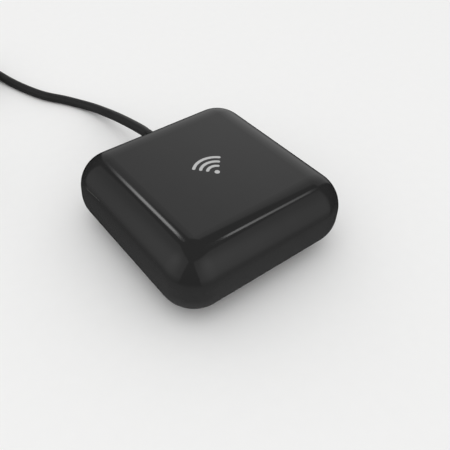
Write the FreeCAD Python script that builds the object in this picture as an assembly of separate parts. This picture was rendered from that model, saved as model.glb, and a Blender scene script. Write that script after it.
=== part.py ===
"""Infrared remote hub: a glossy rounded-square housing on four rubber feet, with its
circuit board, emitters, reset button and a captive power lead that ends in a plug.

Frame: millimetres, +Z up, origin on the floor under the middle of the housing.
The cord leaves the rear face, +Y, and the front face is -Y.
"""
import FreeCAD, Part
import math
import os

Vector = FreeCAD.Vector

# Housing
BODY_WIDTH = 66.0
TOP_EDGE_RADIUS = 11.19
BOTTOM_EDGE_RADIUS = 11.36
UPRIGHT_BAND = 2.35
FLAT_CORNER_RADIUS = 0.28
WALL = 2.0
LIP_THICKNESS = 1.0
LIP_CLEARANCE = 0.1

# Feet and case screws
FOOT_STAND_OFF = 1.0
FOOT_RADIUS = 4.5
FOOT_EDGE_MARGIN = 0.64
FOOT_POCKET_DEPTH = 0.8
FOOT_POCKET_CLEARANCE = 0.1
FOOT_EDGE_ROUNDING = 0.4
SCREW_RADIUS = 1.25
SCREW_HEAD_RADIUS = 2.4
SCREW_HEAD_HEIGHT = 1.7
SCREW_GRIP_IN_BOSS = 3.0
SCREW_REACH_IN_POST = 7.4
SCREW_CLEARANCE = 0.05
HEAD_CLEARANCE = 0.15
BOSS_WALL = 1.25
POST_RADIUS = 3.0
CROSS_RECESS_LENGTH = 3.4
CROSS_RECESS_WIDTH = 0.6
CROSS_RECESS_DEPTH = 0.9

# Main board
BOARD_EDGE_GAP = 4.0
BOARD_THICKNESS = 1.6
BOARD_CORNER_RADIUS = 8.0
LEAD_WIDTH = 0.5
LEAD_HOLE_RADIUS = 0.45
LEAD_TAIL = 1.2

# Infrared emitters and their holder
EMITTER_COUNT = 6
EMITTER_RADIUS = 2.5
EMITTER_FLANGE_RADIUS = 2.9
EMITTER_FLANGE_THICKNESS = 1.0
EMITTER_BODY_LENGTH = 5.1
EMITTER_AXIS_HEIGHT = 4.0
EMITTER_LEAD_PITCH = 2.54
EMITTER_LEAD_RUN = 1.3
HOLDER_INNER_RADIUS = 8.6
HOLDER_WALL = 4.4
HOLDER_HEIGHT = 8.0
HOLDER_CLEARANCE = 0.1

# Infrared receiver
RECEIVER_X = 10.5
RECEIVER_EDGE_GAP = 2.6
RECEIVER_WIDTH = 5.6
RECEIVER_DEPTH = 3.0
RECEIVER_HEIGHT = 6.6
RECEIVER_LENS_RADIUS = 2.3
RECEIVER_STAND_OFF = 0.8
RECEIVER_LENS_HEIGHT = 4.0
RECEIVER_LENS_PROUD = 1.15
RECEIVER_LEAD_PITCH = 1.7

# Status light and its guide
STATUS_EDGE_GAP = 7.5
STATUS_WIDTH = 3.5
STATUS_DEPTH = 2.8
STATUS_HEIGHT = 1.9
STATUS_WINDOW_RADIUS = 1.1
STATUS_WINDOW_DEPTH = 0.4
GUIDE_RADIUS = 1.5
GUIDE_GAP = 0.2
GUIDE_SOCKET_WALL = 1.0
GUIDE_SOCKET_DEPTH = 6.0
GUIDE_CLEARANCE = 0.1

# Reset button and its switch
BUTTON_X = -9.0
BUTTON_RADIUS = 1.8
BUTTON_RECESS = 0.3
BUTTON_CLEARANCE = 0.1
BUTTON_FLANGE_RADIUS = 2.8
BUTTON_FLANGE_THICKNESS = 0.8
BUTTON_FLANGE_GAP = 0.3
BUTTON_STEM_RADIUS = 1.2
BUTTON_TO_PLUNGER_GAP = 0.05
SWITCH_FACE = 6.2
SWITCH_DEPTH = 3.8
SWITCH_STAND_OFF = 0.2
SWITCH_EDGE_GAP = 0.6
PLUNGER_RADIUS = 1.6
PLUNGER_REACH = 1.9
PLUNGER_ENGAGEMENT = 1.0
PLUNGER_CLEARANCE = 0.08
PLUNGER_POCKET_EXTRA = 0.6

# Cord, its relief and its inner end
CORD_RADIUS = 1.9
CORD_EXIT_X = 3.0
RELIEF_NECK_RADIUS = 3.0
RELIEF_TIP_RADIUS = 2.25
RELIEF_LENGTH = 7.0
RELIEF_FLANGE_RADIUS = 4.6
RELIEF_FLANGE_THICKNESS = 1.6
RELIEF_CLEARANCE = 0.05
SADDLE_THICKNESS = 1.2
SADDLE_SIDE = 4.0
SADDLE_GAP = 0.1
JACKET_END_LENGTH = 1.4
WIRE_RADIUS = 0.55
WIRE_PITCH = 2.0
WIRE_SPREAD_IN_JACKET = 0.8
WIRE_STRAIGHT_SHARE = 0.3

# Power header and the housing plugged into it
HEADER_WIDTH = 7.4
HEADER_DEPTH = 6.0
HEADER_HEIGHT = 4.8
HEADER_WALL = 0.7
HEADER_HOLDER_GAP = 1.8
PLUG_HOUSING_PROUD = 1.6
PLUG_HOUSING_CLEARANCE = 0.1
HEADER_PIN_LENGTH = 2.6

# Radio module under the board
MODULE_EDGE_GAP = 2.0
MODULE_LEAD_GAP = 2.2
MODULE_BOSS_GAP = 0.7
MODULE_THICKNESS = 0.8
CAN_SIDE_MARGIN = 1.75
CAN_HEIGHT = 2.2
CAN_EDGE_ROUNDING = 0.5
ANTENNA_ROOM = 9.4
ANTENNA_LINE_WIDTH = 0.6
ANTENNA_THICKNESS = 0.1
ANTENNA_TOOTH = 3.6
ANTENNA_TEETH = 5

# Power parts and chips on the board
CAPACITOR_RADIUS = 3.15
CAPACITOR_HEIGHT = 6.7
CAPACITOR_BASE = 6.6
CAPACITOR_BASE_HEIGHT = 1.0
SIDE_PART_EDGE_GAP = 4.4
SIDE_PART_Y = 8.6
INDUCTOR_SIZE = 5.0
INDUCTOR_HEIGHT = 2.8
REGULATOR_WIDTH = 3.5
REGULATOR_LENGTH = 6.5
REGULATOR_HEIGHT = 1.6
CRYSTAL_WIDTH = 2.5
CRYSTAL_LENGTH = 3.2
CRYSTAL_HEIGHT = 0.8
TRANSISTOR_WIDTH = 2.9
TRANSISTOR_LENGTH = 1.3
TRANSISTOR_HEIGHT = 1.1
CHIP_WIDTH = 2.0
CHIP_LENGTH = 1.25
RESISTOR_HEIGHT = 0.5
CHIP_CAPACITOR_HEIGHT = 1.0
CHIP_PITCH = 3.2
CHIP_SIDE_GAP = 1.0

# Label under the housing
LABEL_FOOT_GAP = 1.0
LABEL_THICKNESS = 0.12
LABEL_CORNER_RADIUS = 1.5

# Coil, tie and tail
COIL_CENTRE_X = -50.5
COIL_CENTRE_Y = 141.5
COIL_START_DEGREES = 14.0
COIL_INNER_RADIUS = 16.8
COIL_PITCH = 4.28
COIL_LAYER_RISE = 4.28
COIL_QUARTERS_PER_LAYER = 11
COIL_APPROACH = 10.0
TIE_DEGREES = 75.0
TIE_WIDTH = 6.0
TIE_THICKNESS = 0.65
TIE_CLEARANCE = 0.1
TIE_SIDE_CLEARANCE = 0.6
TIE_CORNER_RADIUS = 1.4

# Plug on the far end
PLUG_GRIP_WIDTH = 15.4
PLUG_GRIP_THICKNESS = 8.0
PLUG_GRIP_LENGTH = 20.0
PLUG_GRIP_ROUNDING = 1.8
PLUG_RELIEF_LENGTH = 9.0
PLUG_RELIEF_RADIUS = 3.0
PLUG_RELIEF_WALL = 0.4
PLUG_SHELL_WIDTH = 12.0
PLUG_SHELL_THICKNESS = 4.5
PLUG_SHELL_WALL = 0.3
PLUG_SHELL_REACH = 12.0
PLUG_SHELL_SEAT = 6.75
PLUG_WINDOW = 2.3
PLUG_WINDOW_OFFSET = 2.9
PLUG_WINDOW_FROM_TIP = 5.2
PLUG_TONGUE_THICKNESS = 1.84
PLUG_TONGUE_SETBACK = 0.4
PLUG_CONTACT_WIDTH = 1.1
PLUG_CONTACT_LENGTH = 7.0
PLUG_CONTACT_THICKNESS = 0.15
PLUG_CONTACT_PITCH = 2.25

# Share of the shorter run that an arc takes at each of its ends
ARC_SHARE_OF_RUN = 0.45

# The cord's free route beyond its first straight run, points chosen by hand
LEAD_FIRST_RUN = 6.8
LEAD_ROUTE = [
    (3.2, 54.0, 11.9),
    (4.1, 63.0, 8.6),
    (4.4, 72.5, 5.3),
    (3.6, 81.5, 3.0),
    (0.6, 89.5, 1.9),
    (-3.4, 96.4, 1.9),
    (-8.6, 103.2, 1.9),
    (-12.4, 111.6, 1.9),
    (-16.2, 123.4, 1.9),
]
# The tail's runs from the coil to the plug: length, heading in degrees, share of the drop
TAIL_FIRST_RUN = 8.0
TAIL_RUNS = [
    (12.0, 286.0, 0.48),
    (10.0, 280.0, 0.52),
    (7.0, 272.0, 0.0),
]

# Places that follow from the sizes above
half_width = BODY_WIDTH / 2
plan_corner_radius = max(TOP_EDGE_RADIUS, BOTTOM_EDGE_RADIUS) + FLAT_CORNER_RADIUS
body_height = BOTTOM_EDGE_RADIUS + UPRIGHT_BAND + TOP_EDGE_RADIUS
base_z = FOOT_STAND_OFF
floor_z = base_z + WALL
top_z = base_z + body_height
ceiling_z = top_z - WALL
parting_z = base_z + BOTTOM_EDGE_RADIUS + UPRIGHT_BAND / 2
switch_axis_height = SWITCH_FACE / 2 + SWITCH_STAND_OFF
board_top_z = parting_z - switch_axis_height
board_bottom_z = board_top_z - BOARD_THICKNESS
board_half = half_width - WALL - BOARD_EDGE_GAP
screw_offset = half_width - BOTTOM_EDGE_RADIUS - FOOT_EDGE_MARGIN - FOOT_RADIUS
screw_places = [(sx * screw_offset, sy * screw_offset) for sx in (-1, 1) for sy in (-1, 1)]
screw_seat_z = board_bottom_z - SCREW_GRIP_IN_BOSS
head_hole_radius = SCREW_HEAD_RADIUS + HEAD_CLEARANCE
boss_radius = head_hole_radius + BOSS_WALL
label_size = 2 * (screw_offset - FOOT_RADIUS - LABEL_FOOT_GAP)
emitter_lead_reach = HOLDER_INNER_RADIUS - EMITTER_FLANGE_THICKNESS - EMITTER_LEAD_RUN + LEAD_WIDTH
module_width = board_half - MODULE_EDGE_GAP - emitter_lead_reach - MODULE_LEAD_GAP
module_length = 2 * (screw_offset - boss_radius - MODULE_BOSS_GAP)
module_x = MODULE_EDGE_GAP + module_width / 2 - board_half
can_width = module_width - 2 * CAN_SIDE_MARGIN
can_length = module_length - ANTENNA_ROOM
coil_floor_z = CORD_RADIUS + TIE_THICKNESS + TIE_CLEARANCE
plug_axis_z = PLUG_GRIP_THICKNESS / 2


def block(length_x, length_y, height, x, y, z):
    """Box centred on x, y that stands on z."""
    return Part.makeBox(length_x, length_y, height, Vector(x - length_x / 2, y - length_y / 2, z))


def disc(radius, height, x, y, z):
    """Upright cylinder that stands on z."""
    return Part.makeCylinder(radius, height, Vector(x, y, z))


def rod_along_y(radius, x, z, y_start, y_end):
    """Cylinder along +Y from y_start to y_end."""
    return Part.makeCylinder(radius, y_end - y_start, Vector(x, y_start, z), Vector(0, 1, 0))


def upright_edges(solid):
    """Straight edges that run along Z."""
    chosen = []
    for edge in solid.Edges:
        low, high = edge.BoundBox.ZMin, edge.BoundBox.ZMax
        if high - low > 0.9 * solid.BoundBox.ZLength:
            chosen.append(edge)
    return chosen


def edges_at_height(solid, z):
    """Edges that lie flat at one height."""
    chosen = []
    for edge in solid.Edges:
        if abs(edge.BoundBox.ZMin - z) < 1e-4 and abs(edge.BoundBox.ZMax - z) < 1e-4:
            chosen.append(edge)
    return chosen


def rounded_plate(width, depth, height, corner_radius, x, y, z):
    """Plate with rounded upright corners."""
    plate = block(width, depth, height, x, y, z)
    return plate.makeFillet(corner_radius, upright_edges(plate))


def rounded_block(inset):
    """The housing's form drawn in by an even inset on every side."""
    width = BODY_WIDTH - 2 * inset
    low = base_z + inset
    high = top_z - inset
    form = rounded_plate(width, width, high - low, plan_corner_radius - inset, 0, 0, low)
    form = form.makeFillet(TOP_EDGE_RADIUS - inset, edges_at_height(form, high))
    return form.makeFillet(BOTTOM_EDGE_RADIUS - inset, edges_at_height(form, low))


def upright_ring(outer_inset, inner_inset, low, high):
    """Band between two insets of the plan outline."""
    outer = BODY_WIDTH - 2 * outer_inset
    inner = BODY_WIDTH - 2 * inner_inset
    ring = rounded_plate(outer, outer, high - low, plan_corner_radius - outer_inset, 0, 0, low)
    return ring.cut(rounded_plate(inner, inner, high - low, plan_corner_radius - inner_inset, 0, 0, low))


def slab(low, high):
    """Everything between two heights, wider than the housing."""
    return block(2 * BODY_WIDTH, 2 * BODY_WIDTH, high - low, 0, 0, low)


def fuse_all(solids):
    """One solid from solids that touch."""
    return solids[0].fuse(solids[1:]).removeSplitter()


def cut_all(solid, tools):
    """A solid with every tool taken away."""
    return solid.cut(tools)


def wall_openings():
    """Rods that open the rear wall for the cord's relief and the button."""
    inside = half_width - WALL - LIP_THICKNESS
    outside = half_width + WALL
    relief_hole = rod_along_y(RELIEF_NECK_RADIUS + RELIEF_CLEARANCE, CORD_EXIT_X, parting_z, inside, outside)
    button_hole = rod_along_y(BUTTON_RADIUS + BUTTON_CLEARANCE, BUTTON_X, parting_z, inside, outside)
    return [relief_hole, button_hole]


def top_cover():
    """Upper shell with four screw posts and the light guide's socket."""
    shell = rounded_block(0).cut(rounded_block(WALL)).common(slab(parting_z, top_z))
    lip_room_top = parting_z + UPRIGHT_BAND / 2
    shell = shell.cut(upright_ring(WALL - LIP_THICKNESS - LIP_CLEARANCE, WALL, parting_z, lip_room_top))
    added = [shell]
    for x, y in screw_places:
        added.append(disc(POST_RADIUS, ceiling_z - board_top_z, x, y, board_top_z))
    socket_low = ceiling_z - GUIDE_SOCKET_DEPTH
    socket_radius = GUIDE_RADIUS + GUIDE_CLEARANCE + GUIDE_SOCKET_WALL
    added.append(disc(socket_radius, GUIDE_SOCKET_DEPTH, 0, guide_y(), socket_low))
    cover = fuse_all(added)
    pilot_depth = SCREW_REACH_IN_POST + HEAD_CLEARANCE
    removed = [disc(SCREW_RADIUS + SCREW_CLEARANCE, pilot_depth, x, y, board_top_z) for x, y in screw_places]
    removed.append(disc(GUIDE_RADIUS + GUIDE_CLEARANCE, GUIDE_SOCKET_DEPTH, 0, guide_y(), socket_low))
    return cut_all(cover, removed + wall_openings())


def bottom_case():
    """Lower shell with four board bosses, the locating lip and the cord's saddle."""
    shell = rounded_block(0).cut(rounded_block(WALL)).common(slab(base_z, parting_z))
    lip_top = parting_z + UPRIGHT_BAND / 2 - LIP_CLEARANCE
    added = [shell, upright_ring(WALL - LIP_THICKNESS, WALL, parting_z, lip_top), cord_saddle()]
    for x, y in screw_places:
        added.append(disc(boss_radius, board_bottom_z - floor_z, x, y, floor_z))
    case = fuse_all(added)
    removed = []
    for x, y in screw_places:
        removed.append(disc(FOOT_RADIUS + FOOT_POCKET_CLEARANCE, FOOT_POCKET_DEPTH, x, y, base_z))
        removed.append(disc(head_hole_radius, screw_seat_z - base_z, x, y, base_z))
        removed.append(disc(SCREW_RADIUS + SCREW_CLEARANCE, board_bottom_z - base_z, x, y, base_z))
    return cut_all(case, removed + wall_openings())


def cord_saddle():
    """Upright rib with an open notch that keeps the relief's flange against the wall."""
    y_far = half_width - WALL - RELIEF_FLANGE_THICKNESS - SADDLE_GAP
    width = 2 * (CORD_RADIUS + SADDLE_SIDE)
    rib_y = y_far - SADDLE_THICKNESS / 2
    rib = block(width, SADDLE_THICKNESS, parting_z - floor_z, CORD_EXIT_X, rib_y, floor_z)
    rib = rib.common(rounded_block(WALL - LIP_CLEARANCE))
    notch_radius = CORD_RADIUS + SADDLE_GAP
    return rib.cut(rod_along_y(notch_radius, CORD_EXIT_X, parting_z, y_far - 2 * SADDLE_THICKNESS, y_far))


def rubber_foot(x, y):
    """Foot glued in its pocket over a case screw."""
    foot = disc(FOOT_RADIUS, FOOT_STAND_OFF + FOOT_POCKET_DEPTH, x, y, 0)
    return foot.makeFillet(FOOT_EDGE_ROUNDING, edges_at_height(foot, 0))


def case_screws():
    """The four self-tapping screws that clamp case, board and cover together."""
    screws = []
    tip_z = board_top_z + SCREW_REACH_IN_POST
    for x, y in screw_places:
        head = disc(SCREW_HEAD_RADIUS, SCREW_HEAD_HEIGHT, x, y, screw_seat_z - SCREW_HEAD_HEIGHT)
        shank_length = tip_z - SCREW_RADIUS - screw_seat_z
        shank = disc(SCREW_RADIUS, shank_length, x, y, screw_seat_z)
        point_low = Vector(x, y, tip_z - SCREW_RADIUS)
        point = Part.makeCone(SCREW_RADIUS, SCREW_RADIUS / 3, SCREW_RADIUS, point_low)
        screw = fuse_all([head, shank, point])
        low = screw_seat_z - SCREW_HEAD_HEIGHT
        slot_x = block(CROSS_RECESS_LENGTH, CROSS_RECESS_WIDTH, CROSS_RECESS_DEPTH, x, y, low)
        slot_y = block(CROSS_RECESS_WIDTH, CROSS_RECESS_LENGTH, CROSS_RECESS_DEPTH, x, y, low)
        screws.append(cut_all(screw, [slot_x, slot_y]))
    return Part.makeCompound(screws)


def emitter_angles():
    """Directions of the emitters that look outwards, in degrees."""
    return [360.0 * index / EMITTER_COUNT for index in range(EMITTER_COUNT)]


def emitter_form():
    """Emitter along +Z: a flange at z = 0, a round body and a domed tip."""
    neck = EMITTER_FLANGE_THICKNESS
    shoulder = neck + EMITTER_BODY_LENGTH
    bend = EMITTER_RADIUS * math.sqrt(0.5)
    tip = Vector(0, 0, shoulder + EMITTER_RADIUS)
    corners = [Vector(0, 0, 0), Vector(EMITTER_FLANGE_RADIUS, 0, 0), Vector(EMITTER_FLANGE_RADIUS, 0, neck)]
    corners += [Vector(EMITTER_RADIUS, 0, neck), Vector(EMITTER_RADIUS, 0, shoulder)]
    edges = [Part.LineSegment(a, b).toShape() for a, b in zip(corners, corners[1:])]
    edges.append(Part.Arc(corners[-1], Vector(bend, 0, shoulder + bend), tip).toShape())
    edges.append(Part.LineSegment(tip, corners[0]).toShape())
    return Part.Face(Part.Wire(edges)).revolve(Vector(0, 0, 0), Vector(0, 0, 1), 360)


def outward_emitter(angle):
    """Emitter that looks out along one direction, its flange behind the holder's wall."""
    emitter = emitter_form()
    emitter.rotate(Vector(0, 0, 0), Vector(0, 1, 0), 90)
    start = HOLDER_INNER_RADIUS - EMITTER_FLANGE_THICKNESS
    emitter.translate(Vector(start, 0, board_top_z + EMITTER_AXIS_HEIGHT))
    emitter.rotate(Vector(0, 0, 0), Vector(0, 0, 1), angle)
    return emitter


def upward_emitter():
    """Emitter in the middle of the holder that looks up."""
    emitter = emitter_form()
    emitter.translate(Vector(0, 0, board_top_z))
    return emitter


def emitter_lead_places():
    """Plan places of every emitter lead, the outward pairs first and the middle pair last."""
    radius = emitter_lead_reach - LEAD_WIDTH / 2
    places = []
    for angle in emitter_angles():
        turn = math.radians(angle)
        for side in (-EMITTER_LEAD_PITCH / 2, EMITTER_LEAD_PITCH / 2):
            x = radius * math.cos(turn) - side * math.sin(turn)
            y = radius * math.sin(turn) + side * math.cos(turn)
            places.append((x, y))
    places.append((-EMITTER_LEAD_PITCH / 2, 0))
    places.append((EMITTER_LEAD_PITCH / 2, 0))
    return places


def emitter_leads():
    """Bent leads of the outward emitters and straight leads of the middle one."""
    leads = []
    tail_z = board_bottom_z - LEAD_TAIL
    axis_z = board_top_z + EMITTER_AXIS_HEIGHT
    start = emitter_lead_reach - LEAD_WIDTH
    for angle in emitter_angles():
        for side in (-EMITTER_LEAD_PITCH / 2, EMITTER_LEAD_PITCH / 2):
            run_x = start + EMITTER_LEAD_RUN / 2
            run = block(EMITTER_LEAD_RUN, LEAD_WIDTH, LEAD_WIDTH, run_x, side, axis_z - LEAD_WIDTH / 2)
            drop_x = start + LEAD_WIDTH / 2
            drop = block(LEAD_WIDTH, LEAD_WIDTH, axis_z - tail_z, drop_x, side, tail_z)
            lead = fuse_all([run, drop])
            lead.rotate(Vector(0, 0, 0), Vector(0, 0, 1), angle)
            leads.append(lead)
    for side in (-EMITTER_LEAD_PITCH / 2, EMITTER_LEAD_PITCH / 2):
        leads.append(block(LEAD_WIDTH, LEAD_WIDTH, board_top_z - tail_z, side, 0, tail_z))
    return Part.makeCompound(leads)


def led_holder():
    """Round holder with a slot, open at the top, for each outward emitter."""
    outer_radius = HOLDER_INNER_RADIUS + HOLDER_WALL
    holder = disc(outer_radius, HOLDER_HEIGHT, 0, 0, board_top_z)
    holder = holder.cut(disc(HOLDER_INNER_RADIUS, HOLDER_HEIGHT, 0, 0, board_top_z))
    slots = []
    for angle in emitter_angles():
        body_slot = open_slot(EMITTER_RADIUS + HOLDER_CLEARANCE, 2 * outer_radius)
        flange_slot = open_slot(EMITTER_FLANGE_RADIUS + HOLDER_CLEARANCE, HOLDER_INNER_RADIUS)
        slot = fuse_all([body_slot, flange_slot])
        slot.rotate(Vector(0, 0, 0), Vector(0, 0, 1), angle)
        slots.append(slot)
    return cut_all(holder, slots)


def open_slot(radius, reach):
    """Room for a lying round piece along +X from the middle, open at the top."""
    axis_z = board_top_z + EMITTER_AXIS_HEIGHT
    bore = Part.makeCylinder(radius, reach, Vector(0, 0, axis_z), Vector(1, 0, 0))
    mouth = block(reach, 2 * radius, HOLDER_HEIGHT - EMITTER_AXIS_HEIGHT, reach / 2, 0, axis_z)
    return fuse_all([bore, mouth])


def receiver_y():
    """Middle of the receiver's body, behind the board's front edge."""
    return -board_half + RECEIVER_EDGE_GAP + RECEIVER_DEPTH / 2


def ir_receiver():
    """Receiver block with a half-round lens on its front."""
    low = board_top_z + RECEIVER_STAND_OFF
    body = block(RECEIVER_WIDTH, RECEIVER_DEPTH, RECEIVER_HEIGHT, RECEIVER_X, receiver_y(), low)
    lens_y = receiver_y() - RECEIVER_DEPTH / 2 - RECEIVER_LENS_PROUD + RECEIVER_LENS_RADIUS
    lens = Part.makeSphere(RECEIVER_LENS_RADIUS, Vector(RECEIVER_X, lens_y, low + RECEIVER_LENS_HEIGHT))
    return fuse_all([body, lens])


def receiver_lead_places():
    """Plan places of the receiver's three leads."""
    return [(RECEIVER_X + step * RECEIVER_LEAD_PITCH, receiver_y()) for step in (-1, 0, 1)]


def straight_leads(places, top):
    """Leads that run from a part's underside down through the board."""
    low = board_bottom_z - LEAD_TAIL
    return Part.makeCompound([block(LEAD_WIDTH, LEAD_WIDTH, top - low, x, y, low) for x, y in places])


def guide_y():
    """Place of the status light and its guide along Y."""
    return -board_half + STATUS_EDGE_GAP


def status_led():
    """Surface-mounted status light with a shallow round window."""
    body = block(STATUS_WIDTH, STATUS_DEPTH, STATUS_HEIGHT, 0, guide_y(), board_top_z)
    window_z = board_top_z + STATUS_HEIGHT - STATUS_WINDOW_DEPTH
    return body.cut(disc(STATUS_WINDOW_RADIUS, STATUS_WINDOW_DEPTH, 0, guide_y(), window_z))


def light_guide():
    """Clear rod from just over the status light to the cover's ceiling."""
    low = board_top_z + STATUS_HEIGHT + GUIDE_GAP
    return disc(GUIDE_RADIUS, ceiling_z - low, 0, guide_y(), low)


def switch_front_y():
    """Front face of the switch, near the board's rear edge."""
    return board_half - SWITCH_EDGE_GAP


def plunger_tip_y():
    """Where the switch's plunger ends at rest."""
    return switch_front_y() + PLUNGER_REACH


def reset_button():
    """Button with its cap in the rear wall, a flange behind it and a stem to the plunger."""
    flange_front = half_width - WALL - BUTTON_FLANGE_GAP
    flange_back = flange_front - BUTTON_FLANGE_THICKNESS
    cap = rod_along_y(BUTTON_RADIUS, BUTTON_X, parting_z, flange_front, half_width - BUTTON_RECESS)
    flange = rod_along_y(BUTTON_FLANGE_RADIUS, BUTTON_X, parting_z, flange_back, flange_front)
    stem_end = plunger_tip_y() + BUTTON_TO_PLUNGER_GAP
    stem = rod_along_y(BUTTON_STEM_RADIUS, BUTTON_X, parting_z, stem_end, flange_back)
    return fuse_all([cap, flange, stem])


def tact_switch_body():
    """Switch block with a round pocket for its plunger."""
    middle_y = switch_front_y() - SWITCH_DEPTH / 2
    low = parting_z - SWITCH_FACE / 2
    body = block(SWITCH_FACE, SWITCH_DEPTH, SWITCH_FACE, BUTTON_X, middle_y, low)
    pocket_y = switch_front_y() - PLUNGER_ENGAGEMENT - PLUNGER_POCKET_EXTRA
    pocket = rod_along_y(PLUNGER_RADIUS + PLUNGER_CLEARANCE, BUTTON_X, parting_z, pocket_y, switch_front_y())
    return body.cut(pocket)


def tact_switch_plunger():
    """Plunger that the button's stem pushes."""
    start = switch_front_y() - PLUNGER_ENGAGEMENT
    return rod_along_y(PLUNGER_RADIUS, BUTTON_X, parting_z, start, plunger_tip_y())


def switch_lead_places():
    """Plan places of the switch's four legs."""
    middle_y = switch_front_y() - SWITCH_DEPTH / 2
    reach_x = SWITCH_FACE / 2 - LEAD_WIDTH
    reach_y = SWITCH_DEPTH / 2 - LEAD_WIDTH
    return [(BUTTON_X + sx * reach_x, middle_y + sy * reach_y) for sx in (-1, 1) for sy in (-1, 1)]


def header_far_y():
    """Open face of the power header, towards the cord."""
    return HOLDER_INNER_RADIUS + HOLDER_WALL + HEADER_HOLDER_GAP + HEADER_DEPTH


def header_middle_z():
    """Height of the header's pins."""
    return board_top_z + HEADER_HEIGHT / 2


def header_room(shrink):
    """The space inside the header, drawn in by a clearance."""
    width = HEADER_WIDTH - 2 * HEADER_WALL - 2 * shrink
    height = HEADER_HEIGHT - 2 * HEADER_WALL - 2 * shrink
    depth = HEADER_DEPTH - HEADER_WALL - shrink
    middle_y = header_far_y() - depth / 2
    return block(width, depth, height, CORD_EXIT_X, middle_y, board_top_z + HEADER_WALL + shrink)


def power_header():
    """Side-entry header, open towards the cord."""
    middle_y = header_far_y() - HEADER_DEPTH / 2
    body = block(HEADER_WIDTH, HEADER_DEPTH, HEADER_HEIGHT, CORD_EXIT_X, middle_y, board_top_z)
    return body.cut(header_room(0))


def header_pins():
    """Two pins from the header's back wall into the plugged housing."""
    back = header_far_y() - HEADER_DEPTH + HEADER_WALL
    pins = []
    for side in (-WIRE_PITCH / 2, WIRE_PITCH / 2):
        middle_y = back + HEADER_PIN_LENGTH / 2
        low = header_middle_z() - LEAD_WIDTH / 2
        pins.append(block(LEAD_WIDTH, HEADER_PIN_LENGTH, LEAD_WIDTH, CORD_EXIT_X + side, middle_y, low))
    return Part.makeCompound(pins)


def power_plug_housing():
    """Housing on the wires' ends, plugged into the header over its pins."""
    inner = header_room(PLUG_HOUSING_CLEARANCE)
    width = inner.BoundBox.XLength
    height = inner.BoundBox.ZLength
    proud_y = header_far_y() + PLUG_HOUSING_PROUD / 2
    proud = block(width, PLUG_HOUSING_PROUD, height, CORD_EXIT_X, proud_y, inner.BoundBox.ZMin)
    housing = fuse_all([inner, proud])
    room = PLUG_HOUSING_CLEARANCE
    back = header_far_y() - HEADER_DEPTH + HEADER_WALL
    sockets = []
    for side in (-WIRE_PITCH / 2, WIRE_PITCH / 2):
        size = LEAD_WIDTH + 2 * room
        depth = HEADER_PIN_LENGTH + room
        low = header_middle_z() - size / 2
        sockets.append(block(size, depth, size, CORD_EXIT_X + side, back + depth / 2, low))
    return cut_all(housing, sockets)


def jacket_inner_end_y():
    """Where the cord's jacket is stripped, inside the saddle."""
    return half_width - WALL - RELIEF_FLANGE_THICKNESS - JACKET_END_LENGTH


def cord_jacket_end():
    """Short end of the jacket inside the housing."""
    flange_back = half_width - WALL - RELIEF_FLANGE_THICKNESS
    return rod_along_y(CORD_RADIUS, CORD_EXIT_X, parting_z, jacket_inner_end_y(), flange_back)


def supply_wire(side):
    """One insulated wire from the jacket's end to the plugged housing."""
    start = Vector(CORD_EXIT_X + side * WIRE_SPREAD_IN_JACKET, jacket_inner_end_y(), parting_z)
    end = Vector(CORD_EXIT_X + side * WIRE_PITCH / 2, header_far_y() + PLUG_HOUSING_PROUD, header_middle_z())
    straight = (start.y - end.y) * WIRE_STRAIGHT_SHARE
    near_start = Vector(start.x, start.y - straight, start.z)
    near_end = Vector(end.x, end.y + straight, end.z)
    return tube([start, near_start, near_end, end], WIRE_RADIUS)


def strain_relief():
    """Moulded relief: a flange inside the wall, a neck through it and a tapered boot."""
    tip_y = half_width + RELIEF_LENGTH
    wall_inner = half_width - WALL
    neck = rod_along_y(RELIEF_NECK_RADIUS, CORD_EXIT_X, parting_z, wall_inner, half_width)
    axis = Vector(0, 1, 0)
    boot_start = Vector(CORD_EXIT_X, half_width, parting_z)
    boot = Part.makeCone(RELIEF_NECK_RADIUS, RELIEF_TIP_RADIUS, RELIEF_LENGTH, boot_start, axis)
    flange_y = wall_inner - RELIEF_FLANGE_THICKNESS
    flange = rod_along_y(RELIEF_FLANGE_RADIUS, CORD_EXIT_X, parting_z, flange_y, wall_inner)
    flange = flange.common(rounded_block(WALL + RELIEF_CLEARANCE))
    bridge = rod_along_y(RELIEF_NECK_RADIUS, CORD_EXIT_X, parting_z, flange_y, wall_inner)
    return fuse_all([neck, boot, flange, bridge])


def arc_radius_at(before, corner, after):
    """Largest smooth radius at a route point, and the half turn there."""
    shorter = min((corner - before).Length, (after - corner).Length)
    half_turn = (corner - before).getAngle(after - corner) / 2
    return ARC_SHARE_OF_RUN * shorter / math.tan(half_turn), half_turn


def tube_path(points):
    """Straight runs joined by tangent arcs, as one wire, with the arcs' radii."""
    edges = []
    radii = []
    start = points[0]
    for before, corner, after in zip(points, points[1:], points[2:]):
        radius, half_turn = arc_radius_at(before, corner, after)
        radii.append(radius)
        into = (corner - before).normalize()
        out = (after - corner).normalize()
        reach = radius * math.tan(half_turn)
        arc_start = corner - into * reach
        arc_end = corner + out * reach
        bisector = (out - into).normalize()
        centre = corner + bisector * (radius / math.cos(half_turn))
        middle = centre - bisector * radius
        edges.append(Part.LineSegment(start, arc_start).toShape())
        edges.append(Part.Arc(arc_start, middle, arc_end).toShape())
        start = arc_end
    edges.append(Part.LineSegment(start, points[-1]).toShape())
    return Part.Wire(edges), radii


def sweep(path, radius, start, direction):
    """Round solid carried along a path."""
    ring = Part.Wire(Part.makeCircle(radius, start, direction))
    return path.makePipeShell([ring], True, False)


def tube(points, radius):
    """Round tube along a hand-chosen route."""
    path, radii = tube_path(points)
    return sweep(path, radius, points[0], points[1] - points[0])


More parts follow.
